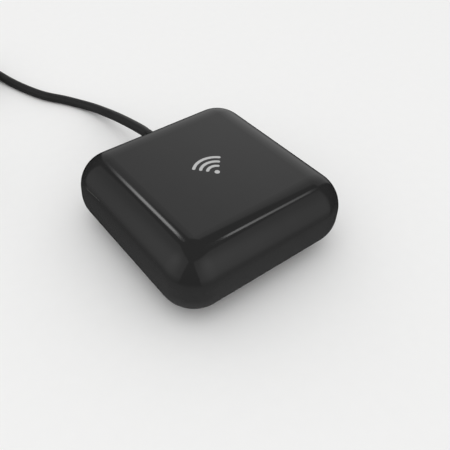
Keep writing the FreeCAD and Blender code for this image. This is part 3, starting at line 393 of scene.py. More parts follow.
@dataclass(frozen=True)
class Laminate(Finish):
    """Circuit board: coated laminate with copper lines that show through the coating."""

    tones: Pair = (0.9, 2.2)
    roughness: float = 0.30
    spread: float = 0.14
    line_pitch: float = 0.0016
    line_share: float = 0.75
    block_pitches: float = 2.2
    glass_size: float = 0.0005
    glass_share: float = 0.2
    depth: float = 0.00002
    index: float = 1.5

    def surface(self, tree: Tree) -> bpy.types.Node:
        """Line pattern in staggered blocks, raised a little and lighter than the ground.

        Args:
            tree: Node tree of the material.

        Returns:
            The surface shader.
        """
        place = tree.object_place()
        stagger = {"offset": 0.5, "squash": 1.4, "squash_frequency": 3}
        blocks = {"Vector": place, "Scale": 1.0 / (self.block_pitches * self.line_pitch),
                  "Mortar Size": 0.035, "Mortar Smooth": 0.1, "Brick Width": 1.3, "Row Height": 0.42}
        lines = tree.number("ShaderNodeTexBrick", stagger, blocks, "Fac")
        glass = tree.noise(place, self.glass_size, detail=1.0)
        tint = self.toned(tree, lines * self.line_share + glass * self.glass_share)
        return tree.add("ShaderNodeBsdfPrincipled", {}, {
            "Base Color": tint, "Roughness": self.roughness + glass * self.spread,
            "IOR": self.index, "Normal": tree.bump(lines, self.depth)})


@dataclass(frozen=True)
class WovenStrap(Finish):
    """Narrow woven strap; the weave follows the strap's own lengthwise and crosswise map."""

    tones: Pair = (0.55, 1.35)
    thread: float = 0.00062
    crossing: float = 0.3
    roughness: float = 0.86
    shine: float = 0.1
    fuzz_size: float = 0.00022
    fuzz_share: float = 0.25
    depth: float = 0.00012
    index: float = 1.45
    sheen: float = 0.25

    def surface(self, tree: Tree) -> bpy.types.Node:
        """Warp and weft as two sine ribs that take turns on top, with fuzz over them. The colour is
        painted shade in the weave's hollows and painted highlight on its crests.

        Args:
            tree: Node tree of the material.

        Returns:
            The surface shader.
        """
        mapped = tree.add("ShaderNodeUVMap", {"uv_map": "UVMap"}).outputs[0]
        parts = tree.add("ShaderNodeSeparateXYZ", {}, {0: mapped}).outputs
        along, across = Number(tree, parts[0]), Number(tree, parts[1])
        turn = math.pi / self.thread
        warp = tree.math("SINE", across * (2.0 * turn)) * 0.5 + 0.5
        weft = tree.math("SINE", along * (2.0 * turn)) * 0.5 + 0.5
        over = tree.math("SINE", along * turn) * tree.math("SINE", across * turn)
        share = over.smooth(-self.crossing, self.crossing)
        weave = warp * share + weft * (1.0 - share)
        fuzz = tree.noise(tree.object_place(), self.fuzz_size, detail=3.0)
        # Colour and bump both follow this height: in the colour it is painted shade in the hollows and
        # painted highlight on the crests; the fuzz part is a random tone.
        height = weave * (1.0 - self.fuzz_share) + fuzz * self.fuzz_share
        return tree.add("ShaderNodeBsdfPrincipled", {}, {
            "Base Color": self.toned(tree, height.clamped()), "IOR": self.index,
            "Roughness": self.roughness - weave * self.shine, "Sheen Weight": self.sheen,
            "Normal": tree.bump(height, self.depth)})


FINISHES = (
    GlossShell("housing_gloss", (0.0228, 0.0228, 0.0228)),
    Moulded("foot_rubber", (0.016, 0.016, 0.016), roughness=0.72, grain=0.0005, depth=0.00001),
    Metal("screw_steel", (0.46, 0.45, 0.43), roughness=0.34, lines=Axis.ALONG_Z),
    Laminate("board_laminate", (0.006, 0.055, 0.024)),
    Laminate("module_laminate", (0.008, 0.012, 0.055), line_pitch=0.0009),
    Metal("shield_metal", (0.62, 0.61, 0.59), roughness=0.30),
    Metal("copper_line", (0.72, 0.38, 0.20), roughness=0.35),
    Resin("emitter_resin", (0.62, 0.66, 0.86)),
    Metal("tinned_lead", (0.66, 0.66, 0.65), roughness=0.32, lines=Axis.ALONG_Z),
    Moulded("holder_plastic", (0.02, 0.02, 0.021), roughness=0.55),
    Resin("receiver_resin", (0.03, 0.012, 0.012), clearness=0.25, roughness=0.12),
    Moulded("status_package", (0.78, 0.77, 0.72), roughness=0.42, grain=0.0002),
    Resin("guide_clear", (0.93, 0.94, 0.95), clearness=1.0, roughness=0.03),
    Moulded("button_plastic", (0.014, 0.014, 0.014), roughness=0.36, grain=0.00025),
    Moulded("switch_plastic", (0.022, 0.022, 0.024), roughness=0.5, grain=0.0002),
    Moulded("plunger_plastic", (0.55, 0.54, 0.50), roughness=0.42, grain=0.0002),
    Moulded("header_plastic", (0.72, 0.70, 0.62), roughness=0.45, grain=0.0003),
    Moulded("wire_red", (0.42, 0.012, 0.010), roughness=0.38, grain=0.0003),
    Moulded("wire_black", (0.012, 0.012, 0.012), roughness=0.38, grain=0.0003),
    CordJacket("cord_jacket", (0.0205, 0.0205, 0.0205), roughness=0.36, spread=0.10,
               grain=0.0005, index=1.34),
    Moulded("relief_plastic", (0.018, 0.018, 0.018), roughness=0.42, grain=0.0004),
    Metal("capacitor_can", (0.70, 0.70, 0.69), roughness=0.26, lines=Axis.ALONG_Z),
    Moulded("chip_black", (0.024, 0.024, 0.025), roughness=0.48, grain=0.00015),
    Moulded("chip_ceramic", (0.42, 0.34, 0.22), roughness=0.40, grain=0.00015),
    Moulded("inductor_ferrite", (0.045, 0.044, 0.042), roughness=0.6, grain=0.0002),
    Moulded("label_film", (0.020, 0.020, 0.021), roughness=0.55, spread=0.08, grain=0.0003),
    WovenStrap("tie_strap", (0.018, 0.018, 0.019)),
    Metal("plug_metal", (0.66, 0.65, 0.63), roughness=0.24, lines=Axis.ALONG_Y),
    Moulded("tongue_plastic", (0.80, 0.80, 0.78), roughness=0.42, grain=0.0002),
    Metal("contact_gold", (0.88, 0.62, 0.24), roughness=0.20),
)
# Light grey ink of the sign; no slot of the record stands for it.
PRINT_INK = Moulded("print_ink", (0.50, 0.50, 0.50), roughness=0.5, spread=0.1, grain=0.0002,
                    depth=0.000002)


class Finishes:
    """All finishes that the record names, built once and laid on the pieces."""

    def __init__(self) -> None:
        """Builds every finish's material."""
        self.materials = {finish.slot: finish.material() for finish in FINISHES}

    def dress_solids(self, nodes: dict[str, bpy.types.Object]) -> None:
        """Gives each carried-over solid the finish of the slot that the record names.

        Args:
            nodes: The frame's solids by name.
        """
        for name, solid in nodes.items():
            for place in solid.material_slots:
                place.material = self.materials[place.material.name.split(".")[0]]
            log.info("dressed %s with %s", name, solid.material_slots[0].material.name)

    def dress(self, piece: bpy.types.Object, slot: str) -> None:
        """Gives a new piece the finish of the record's slot."""
        piece.data.materials.append(self.materials[slot])


def link(name: str, data: bpy.types.ID) -> bpy.types.Object:
    """Puts new data into the scene as an object at the origin.

    Args:
        name: The object's name.
        data: Mesh, curve, light or camera.

    Returns:
        The new object.
    """
    piece = bpy.data.objects.new(name, data)
    bpy.context.scene.collection.objects.link(piece)
    return piece


@dataclass
class Sheet:
    """One closed skin given as a grid of points: rows along it, columns around it.

    The last column joins the first, and a fan closes each end row, so there is no seam or
    pole left open.
    """

    points: np.ndarray
    chart: np.ndarray | None = None

    def faces(self, first: int) -> tuple[np.ndarray, np.ndarray]:
        """Works out the faces of the grid and of its two end fans.

        Args:
            first: Index of the grid's first point in the mesh.

        Returns:
            Quads and triangles, turned round together if they enclose a negative volume.
        """
        rows, columns = self.points.shape[:2]
        index = first + np.arange(rows * columns).reshape(rows, columns)
        along = np.roll(index, -1, axis=1)
        quads = np.stack([index[:-1], along[:-1], along[1:], index[1:]], axis=-1).reshape(-1, 4)
        ends = []
        for row, pole, order in ((0, rows * columns, (1, 0)), (-1, rows * columns + 1, (0, 1))):
            pair = np.stack([index[row], along[row]], axis=-1)[:, order]
            ends.append(np.column_stack([pair, np.full(columns, first + pole)]))
        fans = np.concatenate(ends)
        corners = self.flat()
        thirds = np.concatenate([quads[:, [0, 1, 2]], quads[:, [0, 2, 3]], fans]) - first
        a, b, c = corners[thirds[:, 0]], corners[thirds[:, 1]], corners[thirds[:, 2]]
        if np.einsum("ij,ij->", a, np.cross(b, c)) < 0.0:
            quads, fans = quads[:, ::-1], fans[:, ::-1]
        return quads, fans

    def flat(self) -> np.ndarray:
        """The grid's points in one list, then the middles of its first and last rows."""
        ends = self.points[[0, -1]].mean(axis=1)
        return np.concatenate([self.points.reshape(-1, 3), ends])

    def flat_chart(self) -> np.ndarray:
        """Lists the surface map as flat() lists the points.

        Returns:
            Two coordinates for each point, all zero where the skin has no map.
        """
        if self.chart is None:
            return np.zeros((len(self.flat()), 2))
        return np.concatenate([self.chart.reshape(-1, 2), self.chart[[0, -1]].mean(axis=1)])


def skin(name: str, sheets: list[Sheet], crease: float = 38.0) -> bpy.types.Object:
    """Makes one piece from closed skins, smooth but for edges sharper than the crease.

    Args:
        name: The piece's name.
        sheets: The closed skins that it is made of.
        crease: Angle in degrees from which an edge stays sharp.

    Returns:
        The new object.
    """
    points, charts, faces = [], [], []
    for sheet in sheets:
        quads, fans = sheet.faces(sum(len(part) for part in points))
        points.append(sheet.flat())
        charts.append(sheet.flat_chart())
        faces += quads.tolist() + fans.tolist()
    mesh = bpy.data.meshes.new(name)
    mesh.from_pydata(np.concatenate(points).tolist(), [], faces)
    corners = np.empty(len(mesh.loops), dtype=np.int32)
    mesh.loops.foreach_get("vertex_index", corners)
    mesh.uv_layers.new(name="UVMap").uv.foreach_set("vector", np.concatenate(charts)[corners].ravel())
    mesh.shade_smooth()
    mesh.set_sharp_from_angle(angle=math.radians(crease))
    return link(name, mesh)


def turned(origin: Triple, axis: Triple, profile: np.ndarray, columns: int = 72) -> Sheet:
    """Surface of revolution.

    A point is the origin, plus its place along the axis, plus its radius times the cosine
    and sine of the turn along two directions square to the axis.

    Args:
        origin: Point on the axis where the place is zero.
        axis: Direction of the axis.
        profile: Rows of place along the axis and radius.
        columns: Points around.

    Returns:
        The closed skin.
    """
    ahead = np.array(axis) / np.linalg.norm(axis)
    side = np.cross(ahead, (0.0, 0.0, 1.0))
    upward = np.cross(side, ahead)
    turn = around(columns)
    ring = np.cos(turn)[:, None] * side + np.sin(turn)[:, None] * upward
    place, radius = profile[:, 0, None, None], profile[:, 1, None, None]
    return Sheet(np.array(origin) + place * ahead + radius * ring)


def rounded_profile(corners: list[Triple], samples: int = 9) -> np.ndarray:
    """Profile through corner points, each rounded by its own radius.

    At a corner the line leaves one run and joins the next on a parabola whose ends lie one
    rounding away: the square of the rest, twice the product, and the square of the share
    weigh the run's point, the corner and the next run's point.

    Args:
        corners: Place, radius and rounding at each corner; the ends have no rounding.
        samples: Points on each rounding.

    Returns:
        Rows of place and radius.
    """
    place = np.array(corners)
    share = np.linspace(0.0, 1.0, samples)[:, None]
    rest = 1.0 - share
    line = [place[:1, :2]]
    for before, here, after in zip(place, place[1:], place[2:]):
        corner = here[:2]
        back, ahead = before[:2] - corner, after[:2] - corner
        start = corner + back / np.linalg.norm(back) * here[2]
        finish = corner + ahead / np.linalg.norm(ahead) * here[2]
        line.append(rest ** 2 * start + 2.0 * share * rest * corner + share ** 2 * finish)
    line.append(place[-1:, :2])
    return np.concatenate(line)


def around(columns: int) -> np.ndarray:
    """Angles of that many columns, evenly round a full turn."""
    return np.linspace(0.0, FULL_TURN, columns, endpoint=False)


def step(value: np.ndarray, low: float, high: float) -> np.ndarray:
    """Soft step from 0 at low to 1 at high, by three squares less two cubes of the share."""
    share = np.clip((value - low) / (high - low), 0.0, 1.0)
    return share * share * (3.0 - 2.0 * share)


def ribs(place: np.ndarray, pitch: float) -> np.ndarray:
    """Half of one minus the cosine of the pitches passed: 0 at each whole pitch, 1 between."""
    return 0.5 - 0.5 * np.cos(FULL_TURN * place / pitch)


def squarish(value: np.ndarray, power: float) -> np.ndarray:
    """A sine or cosine, its size raised to a power under one, which squares an oval's corners."""
    return np.sign(value) * np.abs(value) ** power


def round_end(left: np.ndarray, least: float) -> np.ndarray:
    """Quarter circle: root of one less the square of what is left to one, never below least."""
    return np.sqrt(np.clip(1.0 - (1.0 - np.clip(left, 0.0, 1.0)) ** 2, least ** 2, 1.0))


@dataclass
class StrainRelief:
    """Ribbed rubber boot that holds the cord in the rear wall.

    The grooves fade in over a stretch past the wall and out over shares of the boot.
    """

    x: float = 0.0030
    z: float = PARTING_HEIGHT
    wall: float = 0.0330
    flange_start: float = 0.0294
    flange_thickness: float = 0.0015
    flange_radius: float = 0.0042
    flange_rounding: float = 0.0003
    inner_radius: float = 0.0018
    neck_radius: float = 0.0030
    tip: float = 0.0402
    tip_radius: float = 0.00205
    tip_run: float = 0.0003
    mouth_radius: float = 0.0015
    corner_rounding: float = 0.0001
    groove_pitch: float = 0.0017
    groove_depth: float = 0.0004
    groove_power: int = 3
    grooves_start: Pair = (0.0006, 0.0014)
    grooves_end: Pair = (0.72, 0.86)
    lean: Triple = (0.0005, 0.0, -0.00005)
    rows: int = 160

    def profile(self) -> np.ndarray:
        """Flange and neck, then a straight taper with rounded grooves across it.

        On the boot the radius falls evenly from neck to tip, less a groove depth times half
        of one minus the cosine of the turns of groove pitch passed, raised to a power that
        keeps the ribs wide and the grooves narrow.

        Returns:
            Rows of place along the cord and radius.
        """
        front, back = self.flange_start, self.flange_start + self.flange_thickness
        inner = rounded_profile([
            (front, self.inner_radius, 0.0), (front, self.flange_radius, self.flange_rounding),
            (back, self.flange_radius, self.flange_rounding),
            (back, self.neck_radius, self.corner_rounding), (self.wall, self.neck_radius, 0.0)])
        place = np.linspace(self.wall + self.corner_rounding, self.tip - self.tip_run, self.rows)
        past = place - self.wall
        share = past / (self.tip - self.wall)
        fade = step(past, *self.grooves_start) * (1.0 - step(share, *self.grooves_end))
        groove = self.groove_depth * ribs(past, self.groove_pitch) ** self.groove_power * fade
        radius = self.neck_radius + (self.tip_radius - self.neck_radius) * share
        boot = np.column_stack([place, radius - groove])
        end = rounded_profile([
            (*boot[-1], 0.0), (self.tip, self.tip_radius, self.corner_rounding),
            (self.tip, self.mouth_radius, 0.0)])
        return np.concatenate([inner, boot, end[1:]])

    def bent(self, boot: Sheet) -> Sheet:
        """The boot as the cord pulls it: from the wall on it leans by the square of the share."""
        share = np.clip((boot.points[..., 1:2] - self.wall) / (self.tip - self.wall), 0.0, 1.0)
        return Sheet(boot.points + share ** 2 * np.array(self.lean))

    def build(self, finishes: Finishes) -> bpy.types.Object:
        """Makes the boot and lays its finish.

        Args:
            finishes: The hub's finishes.

        Returns:
            The boot.
        """
        straight = turned((self.x, 0.0, self.z), (0.0, 1.0, 0.0), self.profile())
        boot = skin("cord_boot", [self.bent(straight)])
        finishes.dress(boot, "relief_plastic")
        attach(boot, HUB_BODY)
        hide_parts("strain_relief")
        log.info("strain relief: %d points", len(boot.data.vertices))
        return boot


@dataclass
class ResetButton:
    """Small round button in the rear wall, with a finger dish in its cap."""

    x: float = -0.0090
    z: float = PARTING_HEIGHT
    face: float = 0.0327
    cap_radius: float = 0.0018
    cap_rounding: float = 0.00022
    dish_radius: float = 0.0014
    dish_depth: float = 0.00016
    flange_front: float = 0.0307
    flange_back: float = 0.0299
    flange_radius: float = 0.0028
    stem_end: float = 0.02835
    stem_radius: float = 0.0012
    corner_rounding: float = 0.0001
    dish_core: float = 0.00002
    stem_core: float = 0.0004
    dish_rows: int = 16
    columns: int = 56

    def profile(self) -> np.ndarray:
        """Dish as a paraboloid of the radius, a rounded cap edge, then flange and stem.

        Returns:
            Rows of place along the button's way and radius.
        """
        radius = np.linspace(self.dish_core, self.dish_radius, self.dish_rows)
        depth = self.dish_depth * (1.0 - (radius / self.dish_radius) ** 2)
        dish = np.column_stack([self.face - depth, radius])
        rounding = self.corner_rounding
        rest = rounded_profile([
            (self.face, self.dish_radius, 0.0), (self.face, self.cap_radius, self.cap_rounding),
            (self.flange_front, self.cap_radius, rounding),
            (self.flange_front, self.flange_radius, rounding),
            (self.flange_back, self.flange_radius, rounding),
            (self.flange_back, self.stem_radius, rounding),
            (self.stem_end, self.stem_radius, rounding), (self.stem_end, self.stem_core, 0.0)])
        return np.concatenate([dish, rest[1:]])

    def build(self, finishes: Finishes) -> bpy.types.Object:
        """Makes the button, which rides on its own body.

        Args:
            finishes: The hub's finishes.

        Returns:
            The button.
        """
        body = turned((self.x, 0.0, self.z), (0.0, 1.0, 0.0), self.profile(), self.columns)
        cap = skin("reset_cap", [body], crease=30.0)
        finishes.dress(cap, "button_plastic")
        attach(cap, BUTTON_BODY)
        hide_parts("reset_button")
        log.info("reset button: %d points", len(cap.data.vertices))
        return cap


@dataclass
class CordTie:
    """Hook-and-loop strap closed round the coil's turns, with its free end laid on top."""

    coil_centre: Pair = COIL_CENTRE
    bearing: float = math.radians(75.0)
    inner_side: float = 0.0160
    outer_side: float = 0.0302
    low: float = 0.000325
    high: float = 0.009255
    corner: float = 0.0024
    half_width: float = 0.0030
    half_thickness: float = 0.000325
    flatness: Pair = (0.35, 0.6)
    start: float = 0.0195
    overlap: float = 0.0078
    lift: float = 0.00072
    lift_run: Pair = (0.0030, 0.0004)
    end_lift: float = 0.0004
    end_run: float = 0.0030
    end_least: float = math.sqrt(0.02)
    rows: int = 420
    columns: int = 40

    def middle_line(self) -> tuple[np.ndarray, np.ndarray, np.ndarray]:
        """The strap's middle line in the upright plane through the coil's axis.

        It runs out along the top, down, back along the floor and up, as a rectangle with
        rounded corners, and over its own start on a soft step of one strap thickness. The
        free end lifts a little more.

        Returns:
            Points and outward directions, both as distance from the axis and height, and
            the length passed at each point.
        """
        span, rise = self.outer_side - self.inner_side, self.high - self.low
        arc = self.corner * QUARTER_TURN
        flat, upright = span - 2.0 * self.corner, rise - 2.0 * self.corner
        once = 2.0 * (flat + upright) + 4.0 * arc
        begin = self.start - self.inner_side - self.corner
        length = np.linspace(0.0, once + self.overlap, self.rows)
        place = (length + begin) % once
        runs = np.array([flat, arc, upright, arc] * 2)
        ends = np.cumsum(runs)
        side = np.searchsorted(ends, place, side="right") % len(runs)
        into = place - (ends - runs)[side]
        quarter, bend = side // 2, side % 2
        heading = -(quarter + bend * into / arc) * QUARTER_TURN
        middles = np.array([
            (self.outer_side, self.high), (self.outer_side, self.low),
            (self.inner_side, self.low), (self.inner_side, self.high)])
        inward = np.array([(-1.0, -1.0), (-1.0, 1.0), (1.0, 1.0), (1.0, -1.0)]) * self.corner
        hub = (middles + inward)[quarter]
        outward = np.column_stack([-np.sin(heading), np.cos(heading)])
        ahead = np.column_stack([np.cos(heading), np.sin(heading)])
        back = np.where(bend == 0, runs[side] - into, 0.0)
        line = hub + outward * self.corner - ahead * back[:, None]
        over = step(length, once - self.lift_run[0], once - self.lift_run[1]) * self.lift
        over += step(length, length[-1] - self.end_run, length[-1]) * self.end_lift
        return line + outward * over[:, None], outward, length

    def sheet(self) -> Sheet:
        """Carries a flat oval section along the middle line, with a rounded free end.

        A point is the middle line's, plus the oval's sine part outwards and its cosine part
        across the strap, which shrinks on a quarter circle at the end.

        Returns:
            The closed skin, mapped by the length along the strap and the way across it.
        """
        line, outward, length = self.middle_line()
        turn = around(self.columns)
        tip = round_end((length[-1] - length) / self.half_width, self.end_least)
        across = tip[:, None] * self.half_width * squarish(np.cos(turn), self.flatness[0])
        through = self.half_thickness * squarish(np.sin(turn), self.flatness[1])
        radial = np.array([math.cos(self.bearing), math.sin(self.bearing), 0.0])
        sideways = np.array([-math.sin(self.bearing), math.cos(self.bearing), 0.0])
        upward = np.array([0.0, 0.0, 1.0])
        axis = np.array([*self.coil_centre, 0.0])
        bed = line[:, None, :] + outward[:, None, :] * through[None, :, None]
        grid = axis + bed[..., :1] * radial + bed[..., 1:] * upward + across[..., None] * sideways
        chart = np.stack([np.broadcast_to(length[:, None], across.shape), across], axis=-1)
        return Sheet(grid, chart)

    def build(self, finishes: Finishes) -> bpy.types.Object:
        """Makes the strap and lays its weave.

        Args:
            finishes: The hub's finishes.

        Returns:
            The strap.
        """
        strap = skin("coil_tie", [self.sheet()], crease=50.0)
        finishes.dress(strap, "tie_strap")
        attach(strap, HUB_BODY)
        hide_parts("cord_tie")
        log.info("tie: %d points", len(strap.data.vertices))
        return strap


@dataclass
class PlugBody:
    """Moulded grip of the plug with its ribbed relief; the metal shell stays as it is.

    Places are counted from where the cord goes into the relief, and on the grip from its
    rear end. Pairs are where a soft step begins and ends.
    """

    start: Triple = (-0.070352, 0.094695, 0.0040)
    heading: float = math.radians(272.0)
    relief_length: float = 0.0090
    relief_thin: float = 0.00225
    relief_thick: float = 0.0031
    relief_swell: float = 1.3
    relief_mouth: float = 0.0015
    relief_lip: float = 0.0003
    relief_rounding: float = 0.0002
    relief_overlap: float = 0.0004
    groove_pitch: float = 0.0018
    groove_depth: float = 0.00042
    groove_power: int = 3
    grooves_start: Pair = (0.0012, 0.0022)
    grooves_end: Pair = (0.0074, 0.0082)
    grip_length: float = 0.0200
    half_width: float = 0.0077
    half_thickness: float = 0.0040
    squareness: float = 5.0
    shoulder: float = 0.0024
    shoulder_flatness: float = 0.42
    front_edge: float = 0.0005
    ridge_pitch: float = 0.0013
    ridge_depth: float = 0.00032
    ridges_start: Pair = (0.0042, 0.0050)
    ridges_end: Pair = (0.0118, 0.0126)
    ridges_side: Pair = (0.90, 0.985)
    panel_middle: float = 0.0098
    panel_half_width: float = 0.0047
    panel_half_length: float = 0.0058
    panel_depth: float = 0.00022
    panel_rim: Pair = (0.78, 1.05)
    panel_face: Pair = (0.7, 0.9)
    grip_rows: tuple[int, int, int] = (16, 130, 8)
    grip_columns: int = 144
    relief_rows: int = 150

    def axes(self) -> tuple[np.ndarray, np.ndarray, np.ndarray]:
        """Directions along the plug, across it and up."""
        ahead = np.array([math.cos(self.heading), math.sin(self.heading), 0.0])
        return ahead, np.array([-ahead[1], ahead[0], 0.0]), np.array([0.0, 0.0, 1.0])

    def lengths(self) -> np.ndarray:
        """Places of the grip's rows, closer together on its two rounded ends.

        Returns:
            Lengths from the rear end on.
        """
        rear, middle, front = self.grip_rows
        straight_end = self.grip_length - self.front_edge
        return np.concatenate([
            self.shoulder * (1.0 - np.cos(np.linspace(0.0, QUARTER_TURN, rear))),
            np.linspace(self.shoulder, straight_end, middle)[1:],
            straight_end + self.front_edge * np.sin(np.linspace(0.0, QUARTER_TURN, front))[1:]])

    def grip(self) -> Sheet:
        """The grip's skin over the length along it and the turn round it.

        The section is a squarish oval: cosine and sine of the turn, each raised to two over
        the squareness. Both half sizes shrink on a quarter circle at the rear shoulder and a
        smaller one at the front. Grooves cross the two narrow sides, and a soft-edged oval
        panel, where the fourth powers of both shares add up to one, is sunk into both flats.

        Returns:
            The closed skin.
        """
        length = self.lengths()
        along = length[:, None]
        turn = around(self.grip_columns)
        wide = squarish(np.cos(turn), 2.0 / self.squareness)
        tall = squarish(np.sin(turn), 2.0 / self.squareness)
        rear = np.clip(1.0 - length / self.shoulder, 0.0, 1.0)
        front = np.clip(1.0 - (self.grip_length - length) / self.front_edge, 0.0, 1.0)
        inset = self.shoulder * (1.0 - np.sqrt(1.0 - rear ** 2))
        inset += self.front_edge * (1.0 - np.sqrt(1.0 - front ** 2))
        x = (self.half_width - inset)[:, None] * wide
        z = (self.half_thickness - self.shoulder_flatness * inset)[:, None] * tall
        rows = step(along, *self.ridges_start) * (1.0 - step(along, *self.ridges_end))
        ridges = ribs(along - self.ridges_start[0], self.ridge_pitch) ** 2 * rows
        x -= np.sign(wide) * self.ridge_depth * ridges * step(np.abs(wide), *self.ridges_side)
        off = (along - self.panel_middle) / self.panel_half_length
        sunk = 1.0 - step((x / self.panel_half_width) ** 4 + off ** 4, *self.panel_rim)
        z -= np.sign(tall) * self.panel_depth * sunk * step(np.abs(tall), *self.panel_face)
        ahead, across, upward = self.axes()
        middle = np.array(self.start) + (self.relief_length + along[..., None]) * ahead
        return Sheet(middle + x[..., None] * across + z[..., None] * upward)

    def relief(self) -> Sheet:
        """Taper with grooves that stop short of the cord, turned round the plug's axis.

        The radius grows by a power of the share passed, less the groove depth times the
        ribs' wave raised to a power.

        Returns:
            The closed skin.
        """
        end = self.relief_length + self.relief_overlap
        place = np.linspace(self.relief_rounding, end, self.relief_rows)
        swell = (place / self.relief_length) ** self.relief_swell
        radius = self.relief_thin + (self.relief_thick - self.relief_thin) * swell
        fade = step(place, *self.grooves_start) * (1.0 - step(place, *self.grooves_end))
        groove = self.groove_depth * ribs(place, self.groove_pitch) ** self.groove_power * fade
        body = np.column_stack([place, radius - groove])
        rear = rounded_profile([
            (-self.relief_lip, self.relief_mouth, 0.0),
            (-self.relief_lip, self.relief_thin, self.relief_rounding), (*body[0], 0.0)])
        return turned(self.start, tuple(self.axes()[0]), np.concatenate([rear[:-1], body]))

    def build(self, finishes: Finishes) -> list[bpy.types.Object]:
        """Makes grip and relief; they stay two pieces, as they are in the model.

        Args:
            finishes: The hub's finishes.

        Returns:
            Grip and relief.
        """
        grip = skin("plug_handle", [self.grip()], crease=60.0)
        relief = skin("plug_boot", [self.relief()])
        for piece, solid in ((grip, "usb_plug_grip"), (relief, "usb_plug_relief")):
            finishes.dress(piece, "relief_plastic")
            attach(piece, HUB_BODY)
            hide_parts(solid)
            log.info("%s: %d points", piece.name, len(piece.data.vertices))
        return [grip, relief]


@dataclass
class TopPrint:
    """Plain pictogram of a sent signal on the top face: a dot under three arcs."""

    centre: Pair = (0.00085, -0.0036)
    top: float = 0.0259
    thickness: float = 0.00002
    dot_radius: float = 0.00085
    arc_radii: tuple[float, ...] = (0.0030, 0.0052, 0.0074)
    arc_half_width: float = 0.00052
    arc_reach: float = math.radians(43.0)
    flatness: Pair = (0.25, 0.5)
    end_least: float = 0.03
    pole: float = 0.02
    arc_grid: tuple[int, int] = (60, 12)
    dot_grid: tuple[int, int] = (24, 48)

    def skin_at(self, east: np.ndarray, north: np.ndarray, height: np.ndarray) -> Sheet:
        """A skin from offsets to the sign's centre and heights over the top face."""
        x, y = self.centre[0] + east, self.centre[1] + north
        return Sheet(np.stack([x, y, np.broadcast_to(self.top + height, x.shape)], axis=-1))

    def arc(self, radius: float) -> Sheet:
        """Band along an arc with round ends, as rows across it from end to end.

        Across the band the offset follows a flat oval; along it the half width falls to
        nothing at each end on the quarter circle of the rounding.

        Args:
            radius: The arc's own radius.

        Returns:
            The closed skin.
        """
        reach = self.arc_reach + self.arc_half_width / radius
        share = np.sin(np.linspace(-QUARTER_TURN, QUARTER_TURN, self.arc_grid[0])) * reach
        left = (reach - np.abs(share)) * radius / self.arc_half_width
        width = self.arc_half_width * round_end(left, self.end_least)
        turn = around(self.arc_grid[1])
        distance = radius + width[:, None] * squarish(np.cos(turn), self.flatness[0])
        height = self.thickness * squarish(np.sin(turn), self.flatness[1])
        east, north = distance * np.sin(share)[:, None], distance * np.cos(share)[:, None]
        return self.skin_at(east, north, height)

    def dot(self) -> Sheet:
        """Flat round dot: its half section's radius and height go with sine and cosine.

        Returns:
            The closed skin.
        """
        way = np.linspace(self.pole, math.pi - self.pole, self.dot_grid[0])[:, None]
        radius = self.dot_radius * np.sin(way)
        turn = around(self.dot_grid[1])
        height = self.thickness * np.cos(way)
        return self.skin_at(radius * np.cos(turn), radius * np.sin(turn), height)

    def build(self) -> bpy.types.Object:
        """Makes the whole pictogram as one printed piece.

        Returns:
            The sign.
        """
        mark = skin("signal_print", [self.dot(), *(self.arc(radius) for radius in self.arc_radii)])
        mark.data.materials.append(PRINT_INK.material())
        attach(mark, HUB_BODY)
        log.info("top print: %d points", len(mark.data.vertices))
        return mark


